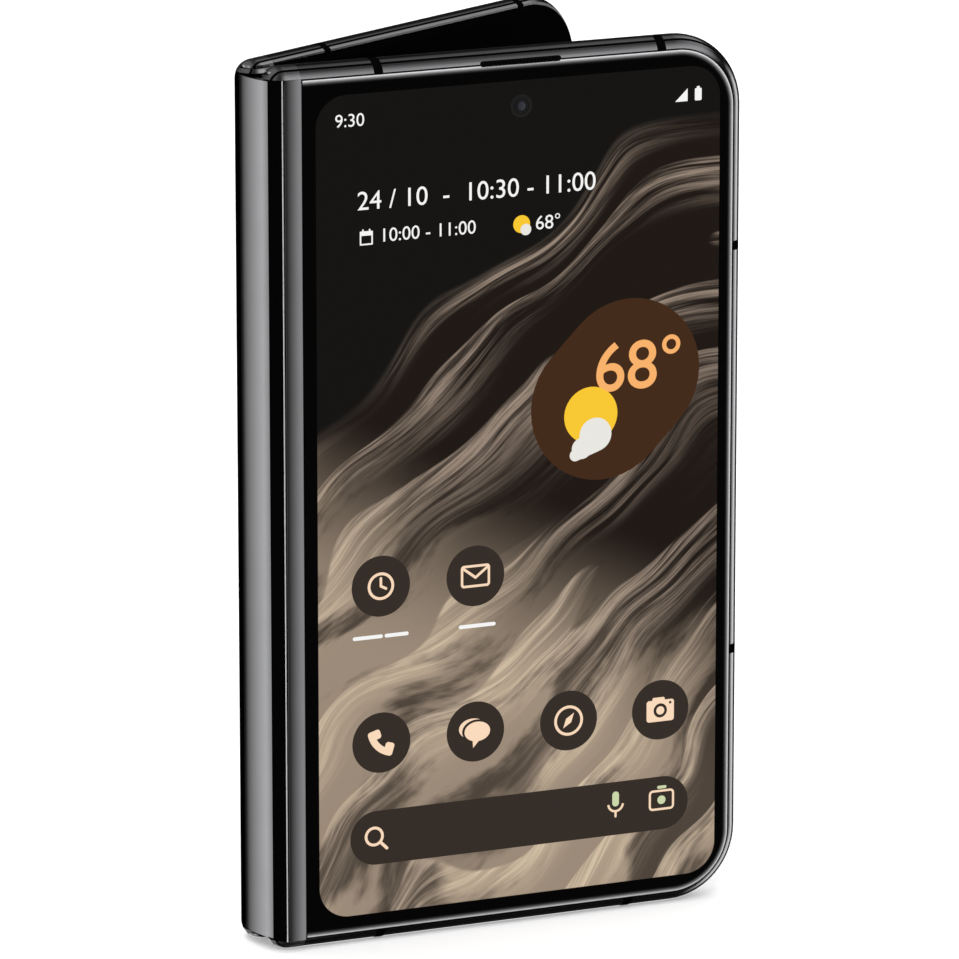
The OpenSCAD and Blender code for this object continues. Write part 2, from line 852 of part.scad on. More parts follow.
// Place of a point of the flat display, turned back to where it is as the phone stands
function eased(t) = t * t * (3 - 2 * t);
function folded(x, s, reach) =
  let (
    turn = (open_angle - stand_angle) * eased(min(abs(s) / reach, 1)),
    rx = x - axis_off,
    ry = axis_off - abs(s),
    px = axis_off + rx * cos(turn) - ry * sin(turn),
    py = -axis_off + rx * sin(turn) + ry * cos(turn)
  )
  [px, s < 0 ? -py : py];

// Sheet of thickness t, whose face lies at x0 when the phone is flat, and which bends up to reach
module bent_sheet(x0, t, reach, end) {
  polygon(concat(
    [for (i = [-FOLD_STEPS : FOLD_STEPS]) folded(x0, i * end / FOLD_STEPS, reach)],
    [for (i = [FOLD_STEPS : -1 : -FOLD_STEPS]) folded(x0 - t, i * end / FOLD_STEPS, reach)]
  ));
}

module inner_display_fold() {
  color("#08080a")
    upright(wall_w - ledge_w + thin, half_h - wall_w + ledge_w - thin)
      bent_sheet(fold_x, bend_t, bend_w, bend_w);
}

module hinge_flex() {
  color("#b8862c")
    upright((half_h - flex_h) / 2, (half_h + flex_h) / 2)
      bent_sheet(flex_x, flex_t, flex_bend, flex_w);
}

// ---------------------------------------------------------------- cameras

module bar_outline(inset) {
  round_rect(bar_x0 + inset, bar_x1 - inset, bar_z0 + inset, bar_z1 - inset, bar_r - inset, bar_r - inset);
}

module camera_bar() {
  color("#3a3a3c")
    back_half()
      difference() {
        union() {
          across(outer_y - bar_up + bar_step, outer_y) bar_outline(0);
          across(outer_y - bar_up, outer_y - bar_up + bar_step) bar_outline(bar_step);
        }
        across(outer_y - bar_up - over, outer_y - bar_up + window_t) camera_window_outline(0);
        for (x = CAMERA_X)
          across(outer_y - bar_up - over, outer_y + over) translate([x, bar_z]) circle(camera_r + fit);
        across(outer_y - bar_up - over, outer_y + over) translate([flash_x, bar_z]) circle(flash_r + fit);
      }
}

module camera_window_outline(gap) {
  translate([CAMERA_X[1], bar_z])
    slot(CAMERA_X[2] - CAMERA_X[0] + 2 * (window_r - gap), 2 * (window_r - gap));
}

module camera_window() {
  color("#050506")
    back_half()
      across(outer_y - bar_up, outer_y - bar_up + window_t - thin) camera_window_outline(thin);
}

// Camera module: a housing on the plate and a stepped barrel up to the window
module camera_module(i) {
  x = CAMERA_X[i];
  window_y = outer_y - bar_up + window_t;
  across(glass_y + fit, pocket_y - fit)
    translate([x, bar_z]) square(module_w, center = true);
  difference() {
    across(window_y + fit, glass_y + fit) translate([x, bar_z]) circle(BARREL_R[i]);
    across(window_y, window_y + lens_sink) translate([x, bar_z]) circle(LENS_R[i]);
  }
}

module main_camera() { color("#232326") back_half() camera_module(0); }

module wide_camera() { color("#232326") back_half() camera_module(1); }

module tele_camera() { color("#232326") back_half() camera_module(2); }

module flash_light() {
  color("#e8e2c8")
    back_half() {
      across(outer_y - bar_up + fit, glass_y + fit) translate([flash_x, bar_z]) circle(flash_r);
      across(glass_y + fit, pocket_y - 2 * fit - board_t)
        translate([flash_x, bar_z]) square(flash_base, center = true);
    }
}

// ---------------------------------------------------------------- keys and tray

// Hole for a key through the free edge
module key_hole(z, length, gap) {
  translate([free_x - key_in, mid_y, z])
    rotate([0, 90, 0])
      linear_extrude(key_in + over)
        slot(length + 2 * gap, key_t + 2 * gap);
}

// Key with a round outer end and a flange behind the wall
module key(z, length, slack) {
  translate([free_x - key_in, mid_y, z])
    rotate([0, 90, 0]) {
      linear_extrude(key_in + key_up)
        slot(length, key_t);
      linear_extrude(key_in - wall_w - slack)
        slot(length + 2 * key_flange, key_t + key_flange);
    }
}

module power_key() { color("#38383a") back_half() key(power_z, power_w, power_slack); }

// Rocker key, with a round rib behind its middle that it tilts on
module volume_key() {
  color("#38383a")
    back_half() {
      key(volume_z, volume_w, volume_slack);
      translate([free_x - key_in, mid_y + key_t / 2, volume_z])
        rotate([90, 0, 0])
          cylinder(r = rib_r, h = key_t, $fn = small_fn);
    }
}

// Metal strip with the domes that the keys press
module key_switches() {
  color("#a8a9ac")
    back_half() {
      translate([strip_x, mid_y - strip_w / 2, volume_z - rocker_off - strip_over])
        cube([strip_t, strip_w, power_z - volume_z + rocker_off + 2 * strip_over]);
      for (z = [power_z, volume_z - rocker_off, volume_z + rocker_off])
        translate([strip_x + strip_t / 2, mid_y, z])
          rotate([0, 90, 0])
            cylinder(r = dome_r, h = dome_t + strip_t / 2);
      // rest for the rib of the volume key
      translate([strip_x, mid_y - strip_w / 2, volume_z - rib_r])
        cube([free_x - key_in - rib_r - thin - strip_x, strip_w, 2 * rib_r]);
    }
}

// Block that the tray's face is cut from, with a gap round it
module tray_face_block(gap) {
  across(tray_y - tray_face / 2 - gap, tray_y + tray_face / 2 + gap)
    translate([tray_x - tray_w / 2 - tray_lip - gap, -over])
      square([tray_w + 2 * tray_lip + 2 * gap, over + tray_face_t + gap]);
}

// Tray with its face flush in the rim
module card_tray() {
  color("#3b3b3d")
    back_half()
      difference() {
        union() {
          intersection() {
            blank();
            tray_face_block(0);
          }
          upright(tray_face_t / 2, tray_l) translate([tray_x, tray_y]) slot(tray_w, tray_t);
        }
        // window that holds the card
        translate([tray_x - tray_w / 2 + tray_wall, tray_y - tray_t, wall_w + tray_wall])
          cube([tray_w - 2 * tray_wall, 2 * tray_t, tray_l - wall_w - 2 * tray_wall]);
        // hole for the ejecting pin
        translate([tray_x + tray_w / 2, tray_y, -over])
          cylinder(r = mic_r, h = tray_face_t + over + thin, $fn = small_fn);
      }
}

// Metal cage that guides the tray
module card_reader() {
  color("#8f9194")
    back_half()
      translate([tray_x, tray_y, 0])
        difference() {
          upright(wall_w + fit, tray_l + 2 * cage_t)
            square([tray_w + 2 * tray_gap, tray_t + 2 * tray_gap] + 2 * [cage_t, cage_t], center = true);
          upright(wall_w + fit - over, tray_l + cage_t)
            square([tray_w + 2 * tray_gap, tray_t + 2 * tray_gap], center = true);
        }
}

// ---------------------------------------------------------------- hinge

// Section of the spine at a depth in from its outside
module spine_section(inset) {
  intersection() {
    translate([crown_r - spine_out, 0]) circle(crown_r - inset, $fn = 256);
    union() {
      for (s = [-1, 1]) translate([axis_off, s * axis_off]) circle(spine_r - inset);
      translate([axis_off - spine_r + inset, -axis_off]) square([spine_r, 2 * axis_off]);
    }
    translate([-crown_r, -half_t]) square([crown_r + lip_x, 2 * half_t]);
  }
}

module spine_cover() {
  lip_y = axis_off + spine_r - spine_wall - lip_relief;
  color("#424244") {
    difference() {
      upright(spine_z, spine_z + spine_h) spine_section(0);
      upright(spine_z + spine_end, spine_z + spine_h - spine_end)
        union() {
          spine_section(spine_wall);
          translate([lip_x - lip_relief, -lip_y])
            square([over, 2 * lip_y]);
        }
    }
    // bosses under the brackets
    difference() {
      for (z = UNITS, at = bracket_at)
        upright(z + at, z + at + slice_w)
          translate([0, -axis_off]) square([boss_x, 2 * axis_off]);
      for (z = UNITS, i = SCREWED) hinge_screw_hole(z + bracket_at[i], screw_r);
    }
  }
}

// Hole along X for the screw of the bracket at z
module hinge_screw_hole(z, r) {
  translate([spine_wall / 2, 0, z + slice_w / 2])
    rotate([0, 90, 0])
      cylinder(r = r, h = axis_off + bracket_r + over, $fn = small_fn);
}

module bracket_section() {
  for (s = [-1, 1]) translate([axis_off, s * axis_off]) circle(bracket_r);
  translate([axis_off - bracket_r, -axis_off]) square([bracket_x - axis_off + bracket_r, 2 * axis_off]);
  translate([boss_x, -axis_off]) square([axis_off - boss_x, 2 * axis_off]);
}

module hinge_brackets() {
  bore = journal_l + run_gap + fit;
  color("#9c9ea2")
    difference() {
      for (z = UNITS, at = bracket_at)
        upright(z + at, z + at + slice_w) bracket_section();
      for (z = UNITS, s = [-1, 1]) {
        translate([axis_off, s * axis_off, z - over])
          cylinder(r = shaft_r + bearing_gap, h = unit_h + 2 * over);
        translate([axis_off, s * idler_off, z + gear_at - bore])
          cylinder(r = journal_r + bearing_gap, h = gear_w + 2 * bore, $fn = small_fn);
      }
      for (z = UNITS, i = SCREWED) {
        hinge_screw_hole(z + bracket_at[i], screw_r + thin);
        translate([seat_x, 0, z + bracket_at[i] + slice_w / 2])
          rotate([0, 90, 0])
            cylinder(r = head_r + thin, h = over, $fn = small_fn);
      }
    }
}

module hinge_screws() {
  color("#b0b2b5")
    for (z = UNITS, i = SCREWED)
      translate([0, 0, z + bracket_at[i] + slice_w / 2])
        rotate([0, 90, 0]) {
          translate([0, 0, spine_wall / 2]) cylinder(r = screw_r, h = seat_x, $fn = small_fn);
          translate([0, 0, seat_x]) cylinder(r = head_r, h = head_t, $fn = small_fn);
        }
}

// Stack of disc springs that clamps each shaft
module friction_springs() {
  color("#c2b280")
    difference() {
      for (z = UNITS, s = [-1, 1], i = [0 : SPRINGS - 1])
        translate([axis_off, s * axis_off, z + spring_at + i * spring_w / SPRINGS])
          cylinder(r = hub_r, h = spring_w / SPRINGS - thin);
      for (z = UNITS, s = [-1, 1])
        translate([axis_off, s * axis_off, z])
          cylinder(r = shaft_r + bearing_gap, h = unit_h);
    }
}

// Outline of a gear; shift turns it by a share of a tooth
function gear_point(r, a) = [r * cos(a), r * sin(a)];
module gear_outline(teeth, shift) {
  pitch_r = gear_module * teeth / 2;
  tip_r = pitch_r + gear_module * addendum;
  root_r = pitch_r - gear_module * dedendum;
  step = 360 / teeth;
  polygon([for (i = [0 : teeth - 1], k = [0 : 3])
    let (
      middle = (i + shift) * step,
      side = k < 2 ? -1 : 1,
      tip = k == 1 || k == 2
    )
    gear_point(tip ? tip_r : root_r, middle + side * step * (tip ? tip_share : root_share))]);
}

module main_gears(s, shift) {
  for (z = UNITS)
    translate([axis_off, s * axis_off, z + gear_at])
      difference() {
        linear_extrude(gear_w) gear_outline(main_teeth, shift);
        translate([0, 0, -over]) cylinder(r = shaft_r, h = gear_w + 2 * over);
      }
}

module front_gears() { color("#c9a227") main_gears(-1, 0); }

module back_gears() { color("#c9a227") main_gears(1, 0.5); }

module idler_gears(s, shift) {
  for (z = UNITS)
    translate([axis_off, s * idler_off, z + gear_at]) {
      linear_extrude(gear_w) gear_outline(idler_teeth, shift);
      translate([0, 0, -run_gap - journal_l])
        cylinder(r = journal_r, h = gear_w + 2 * (journal_l + run_gap), $fn = small_fn);
    }
}

module idler_gears_front() { color("#b08d20") idler_gears(-1, 0.5); }

module idler_gears_back() { color("#b08d20") idler_gears(1, 0); }

module shafts(s) {
  for (z = UNITS)
    translate([axis_off, s * axis_off, z - shaft_over])
      cylinder(r = shaft_r, h = unit_h + 2 * shaft_over);
}

module front_shafts() { color("#d0d2d5") shafts(-1); }

module back_shafts() { color("#d0d2d5") shafts(1); }

// Hub, blade and flange that carry a half on its shafts
module arms() {
  for (z = UNITS)
    difference() {
      upright(z + arm_at, z + arm_at + arm_w) {
        translate([axis_off, -axis_off]) circle(hub_r);
        translate([axis_off, arm_y]) square([flange_x - axis_off + thin, arm_t]);
        translate([flange_x, arm_y]) square([flange_w, pocket_y - arm_y]);
      }
      translate([axis_off, -axis_off, z]) cylinder(r = shaft_r, h = unit_h);
      arm_screw_places()
        translate([0, 0, -half_t])
          cylinder(r = screw_r + thin, h = 2 * half_t, $fn = small_fn);
    }
}

module front_arms() { color("#7d8084") front_half() arms(); }

module back_arms() { color("#7d8084") back_half() arms(); }

// Screws that hold the arms to the structural plate
module arm_screws() {
  arm_screw_places()
    translate([0, 0, arm_y - pocket_y]) {
      cylinder(r = screw_r, h = plate_y - arm_y - fit, $fn = small_fn);
      translate([0, 0, -head_t]) cylinder(r = head_r, h = head_t, $fn = small_fn);
    }
}

module front_screws() { color("#b0b2b5") front_half() arm_screws(); }

module back_screws() { color("#b0b2b5") back_half() arm_screws(); }

front_frame();
front_end_caps();
front_antenna_bands();
cover_glass();
outer_display();
selfie_camera();
earpiece_mesh();
earpiece_speaker();
front_plate();
front_battery();
front_board();
front_magnets();
inner_display_front();
front_bezel();
inner_camera();
front_arms();
front_shafts();
front_gears();
front_screws();
back_frame();
back_end_caps();
back_antenna_bands();
back_glass();
camera_bar();
camera_window();
main_camera();
wide_camera();
tele_camera();
flash_light();
back_plate();
back_battery();
main_board();
board_shield();
port_board();
usb_socket();
loudspeaker();
buzz_motor();
back_magnets();
inner_display_back();
back_bezel();
back_arms();
back_shafts();
back_gears();
back_screws();
key_switches();
card_reader();
power_key();
volume_key();
card_tray();
spine_cover();
hinge_brackets();
hinge_screws();
friction_springs();
idler_gears_front();
idler_gears_back();
inner_display_fold();
hinge_flex();
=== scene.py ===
"""Foldable smartphone, standing half open: its finishes, displays, cameras and trim."""

import json
from functools import partialmethod
from math import atan2, cos, pi, radians, sin
from types import SimpleNamespace

import bmesh
import bpy
from mathutils import Matrix, Vector


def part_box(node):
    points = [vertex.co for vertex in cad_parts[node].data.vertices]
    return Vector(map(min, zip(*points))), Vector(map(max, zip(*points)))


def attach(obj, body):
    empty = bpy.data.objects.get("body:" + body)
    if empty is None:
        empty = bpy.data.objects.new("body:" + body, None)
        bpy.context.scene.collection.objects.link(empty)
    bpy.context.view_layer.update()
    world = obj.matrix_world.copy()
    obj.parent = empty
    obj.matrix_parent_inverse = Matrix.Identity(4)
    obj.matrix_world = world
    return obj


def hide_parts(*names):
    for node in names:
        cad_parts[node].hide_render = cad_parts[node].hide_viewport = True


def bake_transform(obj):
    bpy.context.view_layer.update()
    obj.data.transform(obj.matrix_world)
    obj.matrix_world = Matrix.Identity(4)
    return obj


bl_info = {
    "name": "Foldable Smartphone",
    "version": (1, 0, 0),
    "blender": (4, 5, 0),
    "location": "View3D > Sidebar > Phone",
    "description": "Dresses a foldable smartphone with displays, glass, metal and cameras",
    "category": "Object",
}

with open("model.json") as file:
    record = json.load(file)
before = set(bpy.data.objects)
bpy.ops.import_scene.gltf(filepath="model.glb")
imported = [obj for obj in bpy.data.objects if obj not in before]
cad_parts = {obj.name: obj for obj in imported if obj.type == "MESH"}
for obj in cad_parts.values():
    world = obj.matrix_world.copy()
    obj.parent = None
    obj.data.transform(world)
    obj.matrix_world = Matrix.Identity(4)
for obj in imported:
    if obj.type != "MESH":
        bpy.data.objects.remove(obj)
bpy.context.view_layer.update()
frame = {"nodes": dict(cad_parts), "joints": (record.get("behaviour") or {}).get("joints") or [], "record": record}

# ---- the frame's own sizes

MM = 0.001  # every size below is in millimetres
WELD = 0.0005  # points closer than this are one
HINGE = next(joint for joint in frame["joints"] if joint["name"] == "front_hinge")
AXIS_OFF = -HINGE["pos_m"][1] / MM
STAND = radians(HINGE["range_deg"][1])
OPENING = radians(-HINGE["range_deg"][0])
SLOTS = {part["node"]: part["material_slot"] for part in frame["record"]["subparts"]}

# Turns a shut half, in millimetres, to where it stands, in metres
PIVOT = Matrix.Translation((AXIS_OFF, -AXIS_OFF, 0))
STANDING = PIVOT @ Matrix.Rotation(-STAND, 4, "Z") @ PIVOT.inverted()
SIGN = {"front": 1, "back": -1}
HALF = {side: Matrix.Diagonal((MM, sign * MM, MM, 1)) @ STANDING for side, sign in SIGN.items()}
# Lays what is drawn flat, with its height upwards, on the outer face, inner face or free edge
OUTWARDS = Matrix.Rotation(pi / 2, 4, "X")
INWARDS = OUTWARDS @ Matrix.Scale(-1, 4, (0, 0, 1))
EDGEWISE = Matrix.Rotation(pi / 2, 4, "Z") @ OUTWARDS


def half_box(node, side):
    """Lowest and highest corner of a CAD node, in a shut half's own millimetres."""
    back = HALF[side].inverted()
    points = [back @ v.co for v in frame["nodes"][node].data.vertices]
    return [Vector(pick(p[i] for p in points) for i in range(3)) for pick in (min, max)]


def middle(node, side):
    low, high = half_box(node, side)
    return (low + high) / 2


def on_half(side, y, laid=OUTWARDS):
    """Lays what is drawn flat on a face of a half, at a place through the half."""
    return HALF[side] @ Matrix.Translation((0, y, 0)) @ laid


GLASS_LOW, GLASS_HIGH = half_box("cover_glass", "front")
OUTER_Y = GLASS_LOW.y
GLASS_CORNER = 9.6  # corner radius of the cover glass
BAND_START, STEP_W = 2.4, 0.42  # where the step beside the band starts, and its width
CAP_T = 1.8  # thickness of the end caps
LIP_START = -1.14  # where the dark lip round the inner face starts
CAP_LOW, CAP_HIGH = half_box("front_end_caps", "front")
INNER_FACE_Y = half_box("inner_display_front", "front")[0].y
BAR_TOP = half_box("camera_bar", "back")[0].y
FLASH_MIDDLE = middle("flash_light", "back")
CAMERA_NODES = ("main_camera", "wide_camera", "tele_camera")
KEY_NODES = {"power_key": "power_button", "volume_key": "volume_rocker"}

# What the boxes don't tell of the CAD: the fold, the ribbon cable, keys, lenses and selfie camera
FOLD_HIGH_X, FOLD_T, BEND_END = 3.5, 0.25, 6.0
BEZEL_BAR = 8.05  # height of the black bars above and below the inner display
FLEX_X, FLEX_T, FLEX_BEND, FLEX_END, FLEX_Y = 0.85, 0.15, 5.0, 7.0, -3.15
KEY_T, KEY_FLANGE, CAP_DEPTH = 2.2, 0.6, 0.42
LENS_HOLE, FLASH_R, FLASH_RING = 4.0, 1.8, 0.28
SELFIE_R, SELFIE_Z = 1.8, 130.95

LAYER = 0.012  # thickness of each layer of the picture on the display
GAP = 0.02  # gap beside what is set against another piece


# ---- settings

def colour_prop(name, description, default):
    return bpy.props.FloatVectorProperty(
        name=name, description=description, default=default, subtype="COLOR",
        size=len(default), min=0, max=1)


def length_prop(name, description, default):
    """A length in metres, given here in millimetres."""
    return bpy.props.FloatProperty(
        name=name, description=description, default=default * MM, unit="LENGTH",
        subtype="DISTANCE", min=0, precision=5)


def angle_prop(name, description, degrees):
    return bpy.props.FloatProperty(
        name=name, description=description, default=radians(degrees), unit="ROTATION",
        subtype="ANGLE")


def share_prop(name, description, default, top=1.0):
    return bpy.props.FloatProperty(
        name=name, description=description, default=default, min=0, max=top)


class MetalSettings(bpy.types.PropertyGroup):
    """Finish of the frames, the end caps and the spine."""

    colour: colour_prop("Metal", "Colour of the polished frames", (0.105, 0.105, 0.108))
    spine_colour: colour_prop("Spine", "Colour of the spine", (0.115, 0.115, 0.118))
    cap_colour: colour_prop("Caps", "Colour of the end caps", (0.17, 0.17, 0.174))
    # colour of the bead beside the band: a painted highlight, far paler than the metal
    highlight_colour: colour_prop("Bright edge", "Colour of the bright lines", (0.5, 0.5, 0.51))
    roughness: share_prop("Roughness", "Roughness of the polished frames", 0.15)
    spine_roughness: share_prop("Spine roughness", "Roughness of the spine", 0.11)
    cap_roughness: share_prop("Cap roughness", "Roughness of the end caps", 0.3)
    # the rim's two dark lines are painted dark reflection bands of the rounded rim
    reflection_line_in: length_prop("Line", "Distance of the first dark line from the outer face", 0.95)
    reflection_line_gap: length_prop("Lines apart", "Distance between the rim's two dark lines", 3.11)
    line_width: length_prop("Line width", "Width of each dark line", 0.42)
    band_rise: length_prop("Band rise", "How far the band beside the hinge is crowned", 0.15)
    bead: length_prop("Bead", "Radius of the bright line along the band", 0.1)


class ScreenSettings(bpy.types.PropertyGroup):
    """The outer display and what it shows."""

    left: length_prop("Left", "Start of the lit area, from the hinge end of the half", 7.78)
    width: length_prop("Width", "Width of the lit area", 67.2)
    low: length_prop("Low", "Lower end of the lit area above the table", 4.75)
    height: length_prop("Height", "Height of the lit area", 130.2)
    corner: length_prop("Corner", "Corner radius of the lit area", 5.0)
    glow: share_prop("Glow", "Brightness of the lit area", 1.0, 4.0)
    sweep: angle_prop("Sweep", "Angle that the picture's folds rise at", 41.5)
    fold: length_prop("Fold", "Width of the picture's folds", 14.0)
    night: colour_prop("Night", "Darkest colour of the picture", (0.0068, 0.0060, 0.0052))
    shade: colour_prop("Shade", "Dark side of the upper folds", (0.013, 0.0085, 0.0062))
    stone: colour_prop("Stone", "Dark side of the lower folds", (0.33, 0.255, 0.19))
    taupe: colour_prop("Taupe", "Crests of the upper folds", (0.42, 0.325, 0.255))
    cream: colour_prop("Cream", "Crests of the lower folds", (0.66, 0.53, 0.38))
    disc: colour_prop("Discs", "Colour of the dark discs", (0.0331, 0.0232, 0.0176))
    glyph: colour_prop("Glyphs", "Colour of the glyphs", (0.99, 0.73, 0.52))
    accent: colour_prop("Accent", "Colour of the large number", (0.98, 0.46, 0.15))


class CameraSettings(bpy.types.PropertyGroup):
    """Rear cameras under their dark window."""

    ring: length_prop("Ring", "Width of the metal ring round each lens", 0.45)
    coating: colour_prop("Coating", "Colour of the lens coating", (0.007, 0.009, 0.018))


class StageSettings(bpy.types.PropertyGroup):
    """Camera, floor and light."""

    azimuth: angle_prop("Azimuth", "Direction of the camera round the phone", -36.79)
    elevation: angle_prop("Elevation", "Height of the camera above the horizon", 14.40)
    distance: length_prop("Distance", "Distance of the camera from its target", 1200)
    lens: bpy.props.FloatProperty(
        name="Lens", description="Focal length of the camera",
        default=287.43, subtype="DISTANCE_CAMERA", unit="CAMERA")
    target: bpy.props.FloatVectorProperty(
        name="Target", description="Point that the camera looks at",
        default=(0.04306, 0, 0.06825), subtype="TRANSLATION", unit="LENGTH")
    floor_colour: colour_prop("Floor", "Colour of the floor", (0.8, 0.8, 0.8))


SETTINGS = {
    "phone_metal": MetalSettings,
    "phone_screen": ScreenSettings,
    "phone_cameras": CameraSettings,
    "phone_stage": StageSettings,
}


# ---- shapes

def grid(size=(1, 1), columns=1, rows=1):
    """A flat rectangle about the origin."""
    bm = bmesh.new()
    bmesh.ops.create_grid(bm, x_segments=columns, y_segments=rows, size=0.5)
    bmesh.ops.scale(bm, vec=(*size, 1), verts=bm.verts)
    return bm


def rounded(size, radius, segments=10):
    """A flat rectangle about the origin with round corners."""
    bm = grid(size)
    if radius:
        bmesh.ops.bevel(
            bm, geom=bm.verts, offset=min(radius, min(size) / 2 - WELD), offset_type="OFFSET",
            segments=segments, profile=0.5, affect="VERTICES", material=-1)
    return bm


def pull(bm, low, high):
    """Pulls a flat face up into a solid between two heights, and gives its new parts."""
    bmesh.ops.translate(bm, vec=(0, 0, low), verts=bm.verts)
    pulled = bmesh.ops.extrude_face_region(bm, geom=list(bm.faces))["geom"]
    top = [v for v in pulled if isinstance(v, bmesh.types.BMVert)]
    bmesh.ops.translate(bm, vec=(0, 0, high - low), verts=top)
    return pulled


class Sheet:
    """Shapes drawn on a flat face in millimetres, each pulled up into a closed solid."""

    def __init__(self):
        self.bm = bmesh.new()
        self.origin = Vector((0, 0))

    def keep(self, shape, centre=(0, 0), angle=0.0, stretch=(1.0, 1.0)):
        """Adds a finished shape at its place on the sheet."""
        centre = self.origin + Vector(centre)
        place = Matrix.Translation((*centre, 0)) @ Matrix.Rotation(angle, 4, "Z")
        bmesh.ops.transform(
            shape, matrix=place @ Matrix.Diagonal((*stretch, 1, 1)), verts=shape.verts)
        bmesh.ops.remove_doubles(shape, verts=shape.verts, dist=WELD)
        mesh = bpy.data.meshes.new("shape")
        shape.to_mesh(mesh)
        shape.free()
        self.bm.from_mesh(mesh)
        bpy.data.meshes.remove(mesh)

    def plate(self, centre, size, height, radius=0.0, angle=0.0, soften=0.0):
        """A plate with rounded corners; height is its lower and upper side."""
        shape = rounded(size, radius)
        pulled = pull(shape, *height)
        if soften:
            rim = [e for e in pulled if isinstance(e, bmesh.types.BMEdge)]
            bmesh.ops.bevel(
                shape, geom=rim, offset=soften, offset_type="OFFSET", segments=4, profile=0.5,
                affect="EDGES", material=-1, clamp_overlap=True)
        self.keep(shape, centre, angle)

    def pierced(self, centre, size, radius, holes, hole_r, height):
        """A plate with rounded corners and round holes through it."""
        shape = rounded(size, radius, 32)
        bmesh.ops.translate(shape, vec=(*centre, 0), verts=shape.verts)
        bmesh.ops.delete(shape, geom=list(shape.faces), context="FACES_ONLY")
        for hole in holes:
            circle = bmesh.ops.create_circle(
                shape, cap_ends=False, radius=hole_r, segments=64)["verts"]
            bmesh.ops.translate(shape, vec=(*hole, 0), verts=circle)
        bmesh.ops.triangle_fill(
            shape, use_beauty=True, use_dissolve=False, edges=list(shape.edges))
        pull(shape, *height)
        self.keep(shape)

    def bar(self, start, end, width, height):
        """A bar with round ends between two points."""
        start, end = Vector(start), Vector(end)
        along = end - start
        self.plate((start + end) / 2, (along.length + width, width), height, width / 2,
                   angle=atan2(along.y, along.x))

    def wedge(self, points, height):
        """A piece with straight edges between its corners."""
        shape = bmesh.new()
        shape.faces.new([shape.verts.new((*point, 0)) for point in points])
        pull(shape, *height)
        self.keep(shape)

    def disc(self, centre, radius, height, stretch=(1.0, 1.0), segments=48, angle=0.0):
        """A round disc, or an oval one where it is stretched."""
        shape = bmesh.new()
        bmesh.ops.create_circle(shape, cap_ends=True, radius=radius, segments=segments)
        pull(shape, *height)
        self.keep(shape, centre, angle, stretch)

    def lathe(self, centre, profile, closed=True):
        """Spins a profile of (radius, height) points; a closed one makes a ring."""
        shape = bmesh.new()
        verts = [shape.verts.new((r, 0, h)) for r, h in profile]
        pairs = list(zip(verts, verts[1:]))
        if closed:
            pairs.append((verts[-1], verts[0]))
        edges = [shape.edges.new(pair) for pair in pairs]
        bmesh.ops.spin(
            shape, geom=verts + edges, cent=(0, 0, 0), axis=(0, 0, 1), dvec=(0, 0, 0),
            angle=2 * pi, steps=48, use_merge=True)
        self.keep(shape, centre)

    def ring(self, centre, inner, outer, height):
        low, high = height
        self.lathe(centre, [(inner, low), (outer, low), (outer, high), (inner, high)])

    def dome(self, centre, radius, low, rise):
        """A lens: flat below, and round above."""
        angles = (i * pi / 16 for i in range(9))
        arc = [(radius * cos(a), low + rise * sin(a)) for a in angles]
        self.lathe(centre, [(0, low)] + arc, closed=False)

    def arc(self, centre, radius, width, start, sweep, height, steps=20):
        """Part of a ring, from an angle through a sweep."""
        shape = grid((width, height[1] - height[0]))
        upright = Matrix.Translation((radius, 0, sum(height) / 2)) @ OUTWARDS
        bmesh.ops.transform(shape, matrix=upright, verts=shape.verts)
        bmesh.ops.spin(
            shape, geom=list(shape.faces), cent=(0, 0, 0), axis=(0, 0, 1), dvec=(0, 0, 0),
            angle=sweep, steps=steps, use_merge=False)
        self.keep(shape, centre, start)

    def number(self, text, left, tall, height, weight=0.0):
        """A number with its lower left corner on a point, and figures of a given height."""
        curve = bpy.data.curves.new("number", "FONT")
        curve.body, curve.extrude, curve.offset = text, 0.5, weight
        holder = link("number", curve)
        graph = bpy.context.evaluated_depsgraph_get()
        mesh = bpy.data.meshes.new_from_object(holder.evaluated_get(graph))
        shape = bmesh.new()
        shape.from_mesh(mesh)
        low = Vector(min(v.co[i] for v in shape.verts) for i in range(3))
        size = tall / (max(v.co.y for v in shape.verts) - low.y)
        bmesh.ops.transform(
            shape, matrix=Matrix.Translation((0, 0, height[0]))
            @ Matrix.Diagonal((size, size, height[1] - height[0], 1))
            @ Matrix.Translation(-low), verts=shape.verts)
        self.keep(shape, left)
        bpy.data.objects.remove(holder)
        bpy.data.curves.remove(curve)
        bpy.data.meshes.remove(mesh)


def link(name, data):
    """A new object in the scene."""
    obj = bpy.data.objects.new(name, data)
    bpy.context.scene.collection.objects.link(obj)
    return obj


def slab(columns, rows):
    """A box from the origin to (1, 1, 1), cut into columns and rows."""
    bm = grid(columns=columns, rows=rows)
    bmesh.ops.translate(bm, vec=(0.5, 0.5, 0), verts=bm.verts)
    pull(bm, 0, 1)
    return bm


def make_piece(name, shapes, place, body, materials, replaces=(), sharp=35):
    """Turns shapes in millimetres into a piece that rides on a body, placed in its own mesh."""
    bm = getattr(shapes, "bm", shapes)
    bmesh.ops.dissolve_degenerate(bm, edges=bm.edges, dist=WELD)
    bmesh.ops.transform(bm, matrix=place, verts=bm.verts)
    bmesh.ops.recalc_face_normals(bm, faces=bm.faces)
    mesh = bpy.data.meshes.new(name)
    bm.to_mesh(mesh)
    bm.free()
    mesh.shade_smooth()
    mesh.set_sharp_from_angle(angle=radians(sharp))
    for material in materials:
        mesh.materials.append(material)
    piece = link(name, mesh)
    if replaces:
        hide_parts(*replaces)
    if body:
        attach(piece, body)
    return piece


# ---- materials

OWN = "phone_"  # starts the names of the materials made here


